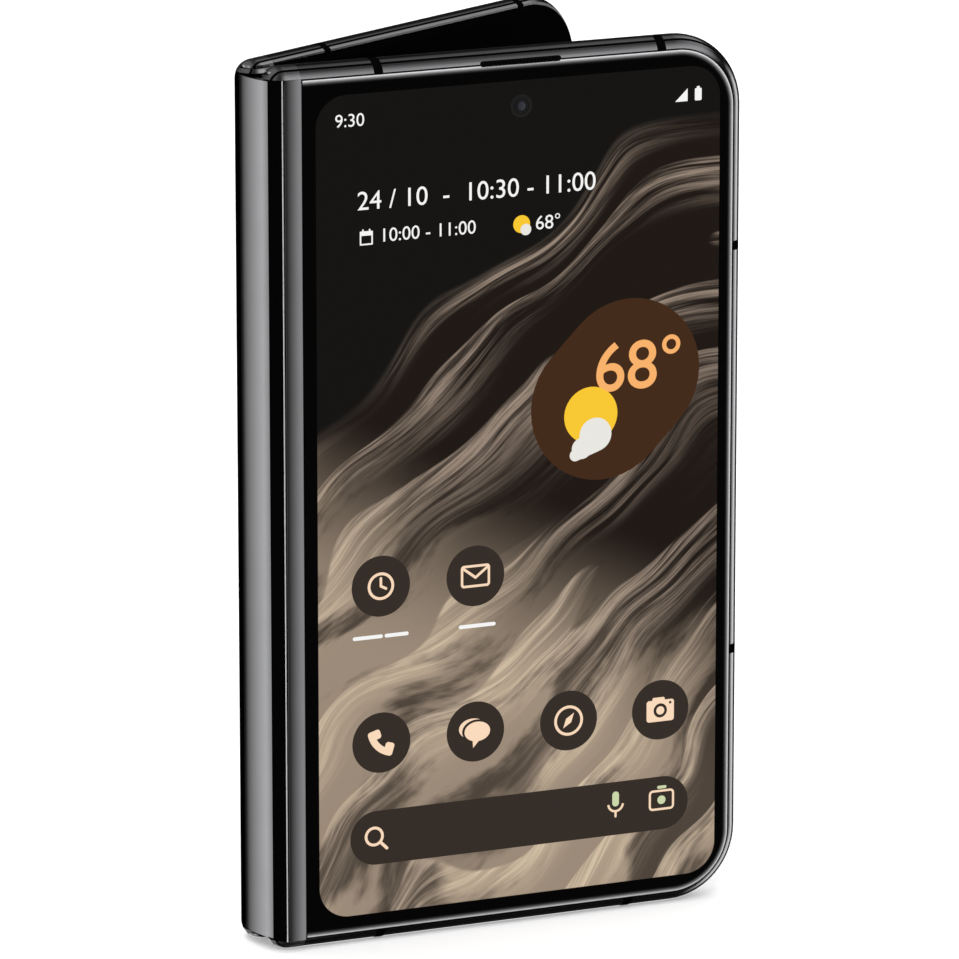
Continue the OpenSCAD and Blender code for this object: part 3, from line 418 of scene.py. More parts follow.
class Nodes:
    """A tree of shader nodes, which are added one after another."""

    def __init__(self, tree):
        self.tree = tree

    def feed(self, socket, value):
        if isinstance(value, bpy.types.NodeSocket):
            self.tree.links.new(value, socket)
        elif socket.type == "RGBA" and len(value) == 3:
            socket.default_value = (*value, 1)
        else:
            socket.default_value = value

    def add(self, kind, inputs, output=0, **settings):
        node = self.tree.nodes.new("ShaderNode" + kind)
        for key, value in settings.items():
            setattr(node, key, value)
        for key, value in inputs.items():
            self.feed(node.inputs[key], value)
        return node.outputs[output]

    def math(self, operation, a, b=0.0, clamp=False):
        return self.add("Math", {0: a, 1: b}, operation=operation, use_clamp=clamp)

    plus = partialmethod(math, "ADD")
    minus = partialmethod(math, "SUBTRACT")
    times = partialmethod(math, "MULTIPLY")
    over = partialmethod(math, "DIVIDE")
    greater = partialmethod(math, "MAXIMUM")

    def step(self, value, low, high, rise="SMOOTHSTEP"):
        """Rises from 0 to 1 as the value goes from low to high."""
        return self.add("MapRange", {"Value": value, "From Min": low, "From Max": high},
                        interpolation_type=rise)

    def split(self, vector):
        return list(self.add("SeparateXYZ", {0: vector}).node.outputs)

    def join(self, x, y, z=0.0):
        return self.add("CombineXYZ", {0: x, 1: y, 2: z})

    def length(self, x, y):
        return self.add("VectorMath", {0: self.join(x, y)}, output=1, operation="LENGTH")


class Finish(Nodes):
    """A material of its own nodes."""

    def __init__(self, name, **inputs):
        self.material = bpy.data.materials.new(OWN + name)
        self.material.use_nodes = True
        super().__init__(self.material.node_tree)
        self.shader = self.tree.nodes["Principled BSDF"]
        self.set(**inputs)

    def set(self, **inputs):
        """Sets or links the shader's inputs; base_color stands for Base Color, and so on."""
        for key, value in inputs.items():
            name = {"specular": "Specular IOR Level"}.get(key, key.replace("_", " ").title())
            self.feed(self.shader.inputs[name], value)

    def mix(self, share, a, b):
        return self.add("Mix", {0: share, 6: a, 7: b}, output=2, data_type="RGBA")

    def noise(self, vector, scale, detail=2.0, roughness=0.5):
        return self.add("TexNoise", {
            "Vector": vector, "Scale": scale, "Detail": detail, "Roughness": roughness})

    def bump(self, height, distance, strength=1.0):
        """Bumps the surface by a distance in millimetres."""
        self.set(normal=self.add("Bump", {
            "Height": height, "Distance": distance * MM, "Strength": strength}))

    def here(self, side=None):
        """Object coordinates in millimetres; those of a shut half where a side is named."""
        vector = self.add("TexCoord", {}, output=3)
        if not side:
            return self.add("Mapping", {"Vector": vector, "Scale": (1 / MM,) * 3})
        return self.add("Mapping", {
            "Vector": vector, "Location": STANDING.inverted().translation,
            "Rotation": (0, 0, STAND), "Scale": (1 / MM, SIGN[side] / MM, 1 / MM)})

    def within(self, x, y, span_x, span_y, corner):
        """Distance in from the outline of a rectangle with round corners, in millimetres."""
        def beyond(place, span):
            off_centre = self.math("ABSOLUTE", self.minus(place, sum(span) / 2))
            return self.greater(self.minus(off_centre, (span[1] - span[0]) / 2 - corner), 0.0)

        return self.minus(corner, self.length(beyond(x, span_x), beyond(y, span_y)))


BROAD = 12  # how much larger the broad changes of colour are than the grain
GLOSS_SPREAD = 0.15  # how far the grain changes the roughness, as a share of it


def plain_finish(name, colour, roughness, metallic, grain, specular=0.5, speckle=0.15, bump=0.004):
    """A finish with small changes of colour and gloss and a fine grain."""
    finish = Finish(name, metallic=metallic, specular=specular)
    here = finish.here()
    fine = finish.noise(here, grain, 3.0)
    broad = finish.noise(here, grain / BROAD, 2.0)
    dark = tuple(c * (1 - speckle) for c in colour)
    light = tuple(min(1, c * (1 + speckle)) for c in colour)
    finish.set(base_color=finish.mix(broad, dark, light), roughness=finish.add("MapRange", {
        "Value": fine, "From Min": 0.3, "From Max": 0.7,
        "To Min": roughness * (1 - GLOSS_SPREAD),
        "To Max": min(1, roughness * (1 + GLOSS_SPREAD))}))
    finish.bump(fine, bump)
    return finish


def polished_metal(name, colour, roughness):
    """Dark polished metal with faint hairlines from its polishing."""
    return plain_finish(name, colour, roughness, 1.0, 1.5, 0.5, 0.06, 0.0005)


# How far the edges of a painted dark reflection line, of the lip and of the black over the hinge fade
REFLECTION_LINE_SOFT, LIP_SOFT, NOSE_SOFT = 0.05, 0.03, 0.1


def painted_reflection_lines(finish, y, settings):
    """1 on the two fine dark lines round the rim of a half: painted dark reflection bands."""
    dark = 0.0
    first = OUTER_Y + settings.reflection_line_in / MM
    for start in (first, first + settings.reflection_line_gap / MM):
        end = start + settings.line_width / MM
        dark = finish.greater(dark, finish.times(
            finish.step(y, start - REFLECTION_LINE_SOFT, start + REFLECTION_LINE_SOFT),
            finish.step(y, end + REFLECTION_LINE_SOFT, end - REFLECTION_LINE_SOFT)))
    return dark


def blacken(finish, dark):
    """Makes a metal finish a dull black where dark is 1."""
    metal = finish.shader.inputs["Base Color"].links[0].from_socket
    bare = finish.minus(1.0, dark)
    finish.set(base_color=finish.mix(dark, metal, (0.0012,) * 3),
               metallic=bare, specular=finish.times(bare, 0.5))
    return finish


def frame_metal(name, side, settings):
    """Metal of a half: black over the hinge and round its inner face, with painted dark reflection lines round its
    rim.
    """
    finish = polished_metal(name, settings.colour, settings.roughness)
    x, y, _ = finish.split(finish.here(side))
    nose = finish.step(x, BAND_START + STEP_W, BAND_START + STEP_W - NOSE_SOFT)
    lip = finish.step(y, LIP_START - LIP_SOFT, LIP_START + LIP_SOFT)
    # black over the hinge, the dark lip, and the painted dark reflection lines
    dark = finish.greater(nose, finish.greater(lip, painted_reflection_lines(finish, y, settings)))
    return blacken(finish, dark)


def cap_metal(name, side, settings):
    """Metal of the end caps of a half, on which the rim's painted dark reflection lines go on."""
    finish = polished_metal(name, settings.cap_colour, settings.cap_roughness)
    _, y, _ = finish.split(finish.here(side))
    return blacken(finish, painted_reflection_lines(finish, y, settings))


def ready(name, make, *args):
    """A material by its name, made the first time that it is asked for."""
    found = bpy.data.materials.get(OWN + name)
    return found or make(name, *args).material


def plain(name):
    return ready(name, plain_finish, *PLAIN[name])


def dress(node, material):
    """Gives a CAD node its finish."""
    obj = frame["nodes"][node]
    if not obj.material_slots:
        obj.data.materials.append(material)
    for slot in obj.material_slots:
        slot.material = material


# Plain finishes: colour, roughness, metallic, grain per millimetre, gloss; and for some of them
# how much their colour varies, and their bumps in millimetres
PLAIN = {
    "band_plastic": ((0.0015, 0.0015, 0.0016), 0.42, 0.0, 6.0, 0.0),
    "module_plastic": ((0.012, 0.012, 0.013), 0.5, 0.0, 5.0, 0.3),
    "mesh": ((0.003, 0.003, 0.003), 0.6, 0.0, 8.0, 0.0),
    "plate_metal": ((0.42, 0.43, 0.45), 0.38, 1.0, 2.0, 0.5),
    "battery_pack": ((0.02, 0.02, 0.024), 0.4, 0.0, 1.0, 0.5),
    "circuit_board": ((0.012, 0.07, 0.035), 0.35, 0.0, 1.2, 0.5),
    "magnet": ((0.5, 0.5, 0.52), 0.3, 1.0, 2.0, 0.5),
    "hinge_steel": ((0.5, 0.5, 0.52), 0.28, 1.0, 3.0, 0.5),
    "gear_metal": ((0.5, 0.36, 0.12), 0.35, 1.0, 4.0, 0.5),
    "spring_steel": ((0.42, 0.42, 0.4), 0.32, 1.0, 3.0, 0.5),
    "sheet_metal": ((0.35, 0.36, 0.38), 0.33, 1.0, 2.5, 0.5),
    "flex_film": ((0.3, 0.14, 0.02), 0.35, 0.0, 0.8, 0.5),
    "camera_glass": ((0.002, 0.002, 0.0025), 0.05, 0.0, 2.0, 0.5, 0.2, 0.0001),
    "display": ((0.0012, 0.0012, 0.0014), 0.07, 0.0, 2.0, 0.05, 0.2, 0.0001),
    "back_glass": ((0.0075, 0.0075, 0.0082), 0.36, 0.0, 9.0, 0.4, 0.1, 0.0012),
    "lens_rim": ((0.004, 0.004, 0.0045), 0.3, 0.0, 4.0, 0.1, 0.2, 0.001),
    "lens_ring": ((0.25, 0.25, 0.26), 0.25, 1.0, 3.0, 0.5, 0.05, 0.0005),
}


# ---- operators

class PHONE_OT_metal(bpy.types.Operator):
    """Gives every CAD node its finish: polished frames, caps, bands and what lies inside"""

    bl_idname = "phone.metal"
    bl_label = "Metal and inside"

    def execute(self, context):
        settings = context.scene.phone_metal
        for node, slot in SLOTS.items():
            if slot in PLAIN:
                dress(node, plain(slot))
        dress("spine_cover", ready("spine_metal", polished_metal, settings.spine_colour,
                                   settings.spine_roughness))
        for side in HALF:
            dress(f"{side}_end_caps", ready(f"{side}_cap_metal", cap_metal, side, settings))
            dress(f"{side}_frame", ready(f"{side}_frame_metal", frame_metal, side, settings))
        metal = ready("dark_metal", polished_metal, settings.colour, settings.roughness)
        for node in ("camera_bar", "card_tray", *KEY_NODES):
            dress(node, metal)
        dress("flash_light", ready("flash_lens", flash_lens))
        return {"FINISHED"}


def flash_lens(name):
    """Pale lens with the fine rings that spread the light."""
    finish = plain_finish(name, (0.75, 0.70, 0.52), 0.25, 0.0, 2.0, 0.5, 0.08, 0.001)
    x, _, z = finish.split(finish.here("back"))
    away = finish.length(finish.minus(x, FLASH_MIDDLE.x), finish.minus(z, FLASH_MIDDLE.z))
    finish.bump(finish.math("PINGPONG", away, 0.15), 0.1, 0.6)
    return finish


def crowned(low, high, z_low, z_high, rise, sink, steps=12):
    """A strip between two places across a half, crowned by a rise, and sunk in below."""
    bm = slab(steps, 1)
    for v in bm.verts:
        share, along, up = v.co
        crown = rise * (1 - (2 * share - 1) ** 2)
        v.co = (low + share * (high - low), z_low + along * (z_high - z_low),
                crown if up > 0.5 else -sink)
    return bm


BAND_GAP, BAND_SINK = 0.1, 0.05  # gap between the band and the glass, and how deep it is set in
# where the bead beside the band runs, and how deep it is set in; its pale metal is a painted highlight
HIGHLIGHT_LINE, LINE_SINK = (BAND_START - 0.08, BAND_START + 0.12), 0.12


class PHONE_OT_trim(bpy.types.Operator):
    """Adds the crowned band beside the hinge on each half, and a bead beside it whose pale metal is a painted
    highlight
    """

    bl_idname = "phone.trim"
    bl_label = "Hinge trim"

    def execute(self, context):
        s = context.scene.phone_metal
        low, high = CAP_LOW.z + CAP_T + GAP, CAP_HIGH.z - CAP_T - GAP
        metal = ready("band_metal", polished_metal, s.colour, s.roughness)
        # pale metal for the bead: a painted highlight
        bright = ready("bright_edge", plain_finish, s.highlight_colour, 0.3, 1.0, 2.0, 0.5, 0.05, 0.0004)
        for side in HALF:
            face, body = on_half(side, OUTER_Y), f"{side}_half"
            band = crowned(BAND_START + STEP_W, GLASS_LOW.x - BAND_GAP, low, high,
                           s.band_rise / MM, BAND_SINK)
            line = crowned(*HIGHLIGHT_LINE, low, high, s.bead / MM, LINE_SINK, 8)
            make_piece(f"{side}_band", band, face, body, [metal], sharp=50)
            # the bead in pale metal, a painted highlight
            make_piece(f"{side}_highlight_line", line, face, body, [bright], sharp=80)
        return {"FINISHED"}


LIT_SOFT = 0.04  # how far the edge of the lit area fades
FOLDS_TOP = 57.0  # where the folds begin, across their sweep
TOP_FOLD = 121.0  # height where they level out
PICTURE_DRIFT = 48.0  # how far their noise pushes them about
PICTURE_PLACE = 113.0  # place of the picture in the depth of its noise
PALE_LOW, PALE_HIGH = 46.0, 84.0  # where the picture is all pale, and where all dark


def picture_finish(name, settings):
    """Black glass whose lit area shows flowing folds of fine strands, from night down to cream."""
    finish = Finish(name, roughness=0.06, specular=0.01)
    plus, minus, times, step = finish.plus, finish.minus, finish.times, finish.step
    mix, noise, join = finish.mix, finish.noise, finish.join
    x, _, z = finish.split(finish.here("front"))
    # the glass's colour carries a painted highlight on its rounded edge
    finish.set(base_color=glass_with_highlight(finish, x, z))
    u = minus(x, settings.left / MM)
    v = minus(z, settings.low / MM)
    within = finish.within(u, v, (0, settings.width / MM), (0, settings.height / MM),
                           settings.corner / MM)
    lit = step(within, -LIT_SOFT, LIT_SOFT)

    # the folds sweep up to the right, bend slowly, and level out at the top
    place = join(u, v, PICTURE_PLACE)
    along, across, _ = finish.split(finish.add("VectorRotate", {
        "Vector": place, "Angle": -settings.sweep}, rotation_type="Z_AXIS"))
    drift = noise(place, 0.018, 2.0, 0.4)
    across = plus(across, times(minus(drift, 0.5), PICTURE_DRIFT))
    level = minus(v, TOP_FOLD - FOLDS_TOP)
    across = finish.add("Math", {0: across, 1: level, 2: 12.0}, operation="SMOOTH_MAX")
    strand_place = join(times(along, 0.035), across, PICTURE_PLACE)
    coarse = step(noise(strand_place, 0.55, 5.0, 0.62), 0.38, 0.62)
    fine = step(noise(strand_place, 2.2, 4.0, 0.7), 0.3, 0.7)
    strands = times(coarse, plus(times(fine, 0.7), 0.3))
    fold_place = join(times(along, 0.3), across, PICTURE_PLACE)
    uneven = noise(fold_place, 0.05, 1.0)
    fold = plus(finish.over(across, settings.fold / MM), times(uneven, 3.0))
    fold = finish.math("FRACT", fold)
    crest = times(step(fold, 0.2, 0.92), step(fold, 1.0, 0.97))

    # pale towards the lower left, but for a few hollows
    fall = plus(v, times(u, 0.5))
    hollow = step(noise(fold_place, 0.07, 5.0, 0.6), 0.42, 0.52)
    pale = times(step(fall, PALE_HIGH, PALE_LOW), plus(times(hollow, 0.8), 0.2))
    glow = times(crest, plus(times(strands, 0.9), times(pale, 0.3)), clamp=True)
    low = mix(pale, settings.shade, settings.stone)
    high = mix(pale, settings.taupe, settings.cream)
    colour = mix(step(across, FOLDS_TOP + 2, FOLDS_TOP - 1), settings.night, mix(glow, low, high))
    finish.set(emission_color=mix(lit, (0, 0, 0), colour), emission_strength=settings.glow)
    return finish


# In from the outline of the glass: where its seam ends, and where the painted highlight on its rounded edge fades
# out
SEAM, HIGHLIGHT_WIDTH, HIGHLIGHT_END, HIGHLIGHT_FALL = (0.16, 0.26), 1.1, 1.3, 3.8
HINGE_SEAM = (0.12, 0.2)  # the same seam on the side of the hinge


def glass_with_highlight(finish, x, z):
    """Colour of the glass: black, with a painted highlight on its rounded edge inside a fine dark seam."""
    low, high = GLASS_LOW, GLASS_HIGH
    across = (low.x - 2 * GLASS_CORNER, high.x)
    within = finish.within(x, z, across, (low.z, high.z), GLASS_CORNER)
    ramp = finish.over(finish.minus(HIGHLIGHT_END, within), HIGHLIGHT_WIDTH, True)
    seam = finish.step(within, *SEAM)
    # the painted highlight: pale grey rising towards the seam, in place of the studio's reflection on the rounded
    # edge
    edge = finish.mix(finish.times(finish.math("POWER", ramp, HIGHLIGHT_FALL), seam),
                      (0.0007, 0.0007, 0.0008), (0.88, 0.88, 0.89))
    seam = finish.step(x, *(low.x + place for place in HINGE_SEAM))
    return finish.mix(seam, (0.0, 0.0, 0.0), edge)


PIXEL, PIXEL_SHARE = 0.05, 0.4  # half a pixel, and how much of the grid shows
LIT_SPREAD = 0.04  # how much darker the lines of the grid are


def lit_finish(name, colour, glow):
    """A lit area of one colour, with the faint grid of its pixels."""
    finish = Finish(name, base_color=(0.002, 0.002, 0.0022), roughness=0.06, specular=0.03)
    x, _, z = finish.split(finish.here("front"))
    cells = [finish.math("PINGPONG", place, PIXEL) for place in (x, z)]
    share = finish.times(finish.plus(*cells), PIXEL_SHARE)
    dim = tuple(c * (1 - LIT_SPREAD) for c in colour)
    finish.set(emission_color=finish.mix(share, dim, colour), emission_strength=glow)
    return finish


def draw_clock(on):
    on.glyphs.ring((0, 0), 1.75, 2.2, TWO)
    on.glyphs.bar((0, 0), (0, 1.25), 0.42, TWO)
    on.glyphs.bar((0, 0), (0.85, -0.45), 0.42, TWO)


def draw_letter(on):
    on.glyphs.plate((0, 0), (4.9, 3.6), TWO, 0.55)
    on.insets.plate((0, 0), (4.1, 2.8), THREE, 0.2)
    on.glyphs.bar((-2.1, 1.35), (0, -0.25), 0.42, FOUR)
    on.glyphs.bar((2.1, 1.35), (0, -0.25), 0.42, FOUR)


def draw_handset(on):
    hub = Vector((2.3, 2.3))
    on.glyphs.arc(hub, 4.1, 1.1, radians(192), radians(66), TWO)
    for angle in (radians(197), radians(253)):
        pad = hub + 3.6 * Vector((cos(angle), sin(angle)))
        on.glyphs.plate(pad, (2.1, 1.5), TWO, 0.45, angle=angle)


def draw_speech(on):
    on.glyphs.disc((-0.5, 0.55), 1.9, TWO, stretch=(1.2, 0.85))
    on.insets.disc((0.2, 0.1), 2.05, THREE, stretch=(1.2, 0.9))
    on.glyphs.disc((0.3, 0.0), 1.8, FOUR, stretch=(1.2, 0.88))
    on.glyphs.wedge([(-0.5, -1.3), (0.7, -1.4), (-0.4, -2.6)], FOUR)


def draw_compass(on):
    on.glyphs.ring((0, 0), 2.0, 2.45, TWO)
    on.glyphs.disc((0, 0), 1.5, TWO, stretch=(1.0, 0.36), segments=4, angle=radians(52))


def draw_shutter(on):
    on.glyphs.plate((0, -0.15), (4.7, 3.5), TWO, 0.45)
    on.glyphs.plate((-0.3, 1.6), (2.1, 0.9), TWO, 0.25)
    on.insets.disc((0, -0.1), 1.15, THREE)
    on.insets.disc((1.7, 1.05), 0.22, THREE)
    on.glyphs.disc((0, -0.1), 0.68, FOUR)


def draw_magnifier(on):
    on.glyphs.ring((-0.35, 0.35), 1.15, 1.6, TWO)
    on.glyphs.bar((0.7, -0.7), (1.75, -1.75), 0.5, TWO)


def draw_microphone(on):
    on.leaf.bar((0, 0.2), (0, 1.5), 1.15, TWO)
    on.glyphs.arc((0, 0.1), 1.25, 0.36, radians(185), radians(170), TWO)
    on.glyphs.bar((0, -1.15), (0, -2.0), 0.36, TWO)


def draw_frame(on):
    for x in (-2.0, 2.0):
        on.glyphs.bar((x, -1.1), (x, 0.9), 0.36, TWO)
    for y in (-1.6, 1.4):
        on.glyphs.bar((-1.5, y), (1.5, y), 0.36, TWO)
    for x, y, start in ((1.5, 0.9, 0), (-1.5, 0.9, 90), (-1.5, -1.1, 180), (1.5, -1.1, 270)):
        on.glyphs.arc((x, y), 0.5, 0.36, radians(start), pi / 2, TWO, steps=6)
    on.leaf.disc((0, -0.1), 0.7, TWO)
    on.leaf.bar((-0.5, 2.0), (0.6, 2.0), 0.5, TWO)


def draw_calendar(on):
    for x in (-0.95, 0.95):
        on.figures.bar((x, -0.95), (x, 0.8), 0.24, ONE)
    on.figures.bar((-0.95, -0.95), (0.95, -0.95), 0.24, ONE)
    on.figures.plate((0, 0.75), (2.14, 0.7), ONE, 0.12)
    for x in (-0.55, 0.55):
        on.figures.bar((x, 1.0), (x, 1.3), 0.26, ONE)


def draw_status(on):
    """A signal wedge and a battery."""
    on.figures.wedge([(-1.6, -1.05), (0.5, -1.05), (0.5, 0.95)], ONE)
    on.figures.plate((2.3, -0.1), (1.15, 1.95), ONE, 0.2)
    on.figures.plate((2.3, 1.0), (0.5, 0.35), ONE, 0.1)


# Heights of the layers of the picture, from below the glass up to each of them
ONE, TWO, THREE, FOUR = ((-LAYER, n * LAYER) for n in (1, 2, 3, 4))
DISC_R = 4.85
# Places on the display: across from its left side, and down from its top
DISCS = {draw_clock: (10.4, 77.6), draw_letter: (26.2, 77.6), draw_handset: (10.4, 102.7),
         draw_speech: (26.2, 102.7), draw_compass: (42.0, 102.7), draw_shutter: (57.7, 102.7)}
SIGNS = {draw_magnifier: (9.5, 118.1), draw_microphone: (50.1, 117.3), draw_frame: (58.0, 117.4),
         draw_calendar: (8.2, 22.5), draw_status: (61.2, 4.4)}
NUMBERS = (("9:30", (3.2, 5.0), 2.0), ("24 / 10  -  10:30 - 11:00", (6.8, 18.1), 2.9),
           ("10:00 - 11:00", (11.0, 23.3), 2.1), ("68°", (36.3, 23.6), 2.3))


class PHONE_OT_outer_display(bpy.types.Operator):
    """Gives the outer glass its lit display, and adds the clock, icons and panels on it"""

    bl_idname = "phone.outer_display"
    bl_label = "Outer display"

    def execute(self, context):
        s = context.scene.phone_screen
        dress("cover_glass", ready("display_picture", picture_finish, s))
        colours = {
            "discs": s.disc, "glyphs": s.glyph, "insets": s.disc, "figures": (0.95, 0.95, 0.94),
            "weather_panel": (0.0545, 0.0203, 0.006), "weather_figures": s.accent,
            "sun": (0.98, 0.60, 0.03), "cloud": (0.84, 0.83, 0.78), "leaf": (0.62, 0.70, 0.42)}
        on = SimpleNamespace(**{name: Sheet() for name in colours})

        def at(u, down):
            return Vector((u, s.height / MM - down))

        for place in DISCS.values():
            on.discs.disc(at(*place), DISC_R, ONE, segments=64)
        on.discs.bar(at(9.5, 118.0), at(58.2, 118.0), 8.7, ONE)
        for number, place, tall in NUMBERS:
            on.figures.number(number, at(*place), tall, ONE)
        for u, half in ((8.2, 2.2), (13.0, 1.7), (26.5, 2.8)):
            on.figures.bar(at(u - half, 85.6), at(u + half, 85.6), 0.6, ONE)
        draw_weather(on, at)
        for draw, place in (DISCS | SIGNS).items():
            for sheet in vars(on).values():
                sheet.origin = at(*place)
            draw(on)

        place = on_half("front", OUTER_Y) @ Matrix.Translation((s.left / MM, s.low / MM, 0))
        for name, sheet in vars(on).items():
            make_piece(f"display_{name}", sheet, place, "front_half",
                       [lit_finish(f"display_{name}", colours[name], s.glow).material])
        return {"FINISHED"}


def draw_weather(on, at):
    """The weather panel with its number, sun and cloud, and the small ones at the top."""
    on.weather_panel.bar(at(47.4, 52.4), at(52.1, 47.7), 23.8, ONE)
    on.weather_figures.number("68°", at(46.5, 50.4), 8.2, TWO, 0.006)
    on.sun.disc(at(45.6, 53.8), 4.5, TWO)
    on.sun.disc(at(33.9, 22.5), 1.4, ONE)
    on.cloud.disc(at(46.4, 57.0), 2.7, (-LAYER, 2.6 * LAYER))
    on.cloud.disc(at(44.1, 59.0), 1.7, (-LAYER, 2.6 * LAYER))
    on.cloud.bar(at(43.0, 60.0), at(46.6, 58.8), 1.9, (-LAYER, 2.4 * LAYER))
    on.cloud.disc(at(34.6, 23.4), 0.9, (-LAYER, 1.6 * LAYER))


def lens_finish(name):
    """Black lens glass with a faint coloured coating."""
    coating = tuple(bpy.context.scene.phone_cameras.coating)
    finish = Finish(name, roughness=0.03, specular=0.25)
    facing = finish.add("LayerWeight", {"Blend": 0.35}, output=1)
    spots = finish.noise(finish.here(), 1.5, 1.0)
    tint = finish.mix(spots, coating, tuple(c * 0.6 for c in coating))
    finish.set(base_color=finish.mix(facing, tint, (0.0, 0.0, 0.0)))
    return finish


class PHONE_OT_small_cameras(bpy.types.Operator):
    """Adds the lenses of the selfie camera and of the inner camera"""

    bl_idname = "phone.small_cameras"
    bl_label = "Small cameras"

    def execute(self, context):
        lens = ready("lens", lens_finish)
        selfie, inner = middle("selfie_camera", "front"), middle("inner_camera", "front")
        inner_low, inner_high = half_box("inner_camera", "front")
        for name, centre, radius, face in (
            ("selfie", (selfie.x, SELFIE_Z), SELFIE_R, on_half("front", OUTER_Y)),
            ("inner", (inner.x, inner.z), (inner_high.x - inner_low.x) / 2 - GAP,
             on_half("front", inner_high.y, INWARDS)),
        ):
            rings, glass = Sheet(), Sheet()
            for outer, inner, side, top in ((1.0, 0.72, 0.012, 0.02), (0.62, 0.5, 0.01, 0.016)):
                outer, inner = outer * radius, inner * radius
                rings.lathe(centre, [(outer, -0.01), (outer, side), (inner, top), (inner, -0.01)])
            glass.dome(centre, radius * 0.42, -0.01, 0.06)
            make_piece(f"{name}_rings", rings, face, "front_half",
                       [plain("lens_rim")])
            make_piece(f"{name}_lens", glass, face, "front_half", [lens])
        return {"FINISHED"}


class PHONE_OT_keys(bpy.types.Operator):
    """Adds the rounded caps of the power key and the volume key"""

    bl_idname = "phone.keys"
    bl_label = "Key caps"

    def execute(self, context):
        s = context.scene.phone_metal
        metal = ready("key_metal", polished_metal, s.colour, s.roughness)
        for node, body in KEY_NODES.items():
            low, high = half_box(node, "back")
            centre = middle(node, "back")
            length = high.z - low.z - 2 * KEY_FLANGE
            face = HALF["back"] @ Matrix.Translation((high.x, *centre.yz)) @ EDGEWISE
            cap = Sheet()
            cap.plate((0, 0), (KEY_T + GAP, length + GAP), (-CAP_DEPTH, GAP / 2), KEY_T / 2,
                      soften=0.2)
            make_piece(f"{node}_cap", cap, face, body, [metal])
        return {"FINISHED"}


class PHONE_OT_rear_cameras(bpy.types.Operator):
    """Replaces the plain camera window by one with holes, rings and lenses"""

    bl_idname = "phone.rear_cameras"
    bl_label = "Rear cameras"

    def execute(self, context):
        s = context.scene.phone_cameras
        window, rings, wells, lenses, flash = (Sheet() for _ in range(5))
        low, high = half_box("camera_window", "back")
        centre, size = (low + high) / 2, high - low
        places = [(middle(node, "back").x, centre.z) for node in CAMERA_NODES]
        window.pierced(centre.xz, size.xz, size.z / 2, places, LENS_HOLE, (-size.y, 0.0))
        hole, ring, depth = LENS_HOLE - GAP, s.ring / MM, -size.y
        outer = hole - ring - GAP
        for place in places:
            rings.lathe(place, [(hole, depth), (hole, 0.08), (hole - 0.12, 0.14),
                                (hole - ring, 0.06), (hole - ring, depth)])
            wells.lathe(place, [(outer, depth), (outer, -0.05), (outer * 0.82, -0.3),
                                (outer * 0.8, -0.22), (outer * 0.62, -0.42), (outer * 0.62, depth)])
            lenses.dome(place, outer * 0.6, depth, 0.3)
        flash.ring(FLASH_MIDDLE.xz, FLASH_R + GAP, FLASH_R + FLASH_RING, (-0.05, 0.05))
        metal, lens = plain("lens_ring"), ready("lens", lens_finish)
        for name, shapes, slot, material, replaced in (
            ("camera_window_glass", window, "camera_glass", plain("camera_glass"),
             ("camera_window",)),
            ("lens_rings", rings, "dark_metal", metal, ()),
            ("lens_wells", wells, "module_plastic", plain("lens_rim"), ()),
            ("lens_domes", lenses, "camera_glass", lens, ()),
            ("flash_ring", flash, "dark_metal", metal, ()),
        ):
            make_piece(name, shapes, on_half("back", BAR_TOP), "back_half", [material],
                       replaced)
        return {"FINISHED"}


BEND_STEPS = 24  # flat strips that a bending sheet is made of
HALVINGS = 40  # rounds of the search for how far each point of it turns


def bending_sheet(name, side, flat_x, thickness, reach, bend, levels, node, materials):
    """A sheet that is straight when the phone is flat, and bends from the spine to one half.

    bend is the point of the shut half where it has turned all the way. Up the sheet, the first
    and the second of the materials take turns at the levels."""
    sign = SIGN[side]
    axis = Vector((AXIS_OFF, -sign * AXIS_OFF))
    end = STANDING @ Vector((*bend, 0))
    start, end = Vector((flat_x, 0)), Vector((end.x, sign * end.y))
    along = end - start

    def turned(point, share):
        return axis + Matrix.Rotation(sign * OPENING * share, 2) @ (point - axis)

    def settle(point):
        low, high = 0.0, 1.0
        for _ in range(HALVINGS):
            share = (low + high) / 2
            t = (turned(point, share) - start).dot(along) / along.length_squared
            t = min(1, max(0, t))
            low, high = (share, high) if t * t * (3 - 2 * t) > share else (low, share)
        return turned(point, (low + high) / 2)

    rows = len(levels) - 1
    bm = slab(BEND_STEPS, rows)
    for v in bm.verts:
        flat = Vector((flat_x - v.co.z * thickness, -sign * v.co.x * reach))
        v.co = (*settle(flat), levels[round(v.co.y * rows)])
    for face in bm.faces:
        height = face.calc_center_median().z
        face.material_index = sum(height > level for level in levels[1:-1]) % 2
    piece = make_piece(name, bm, Matrix.Scale(MM, 4), None, materials, (node,))
    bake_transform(piece)
    return piece


class PHONE_OT_bending_sheets(bpy.types.Operator):
    """Replaces the display fold and the hinge's ribbon cable by sheets bent from the spine to each half"""

    bl_idname = "phone.bending_sheets"
    bl_label = "Bending sheets"

    def execute(self, context):
        low, high = (v.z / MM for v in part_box("inner_display_fold"))
        fold_levels = (low, BEZEL_BAR, low + high - BEZEL_BAR, high)
        flex_levels = [v.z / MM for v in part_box("hinge_flex")]
        for side in HALF:
            bending_sheet(f"{side}_fold_sheet", side, FOLD_HIGH_X, FOLD_T, BEND_END,
                          (BEND_END, INNER_FACE_Y), fold_levels, "inner_display_fold",
                          [plain("band_plastic"), plain("display")])
            bending_sheet(f"{side}_flex_sheet", side, FLEX_X, FLEX_T, FLEX_END, (FLEX_BEND, FLEX_Y),
                          flex_levels, "hinge_flex", [plain("flex_film")])
        return {"FINISHED"}


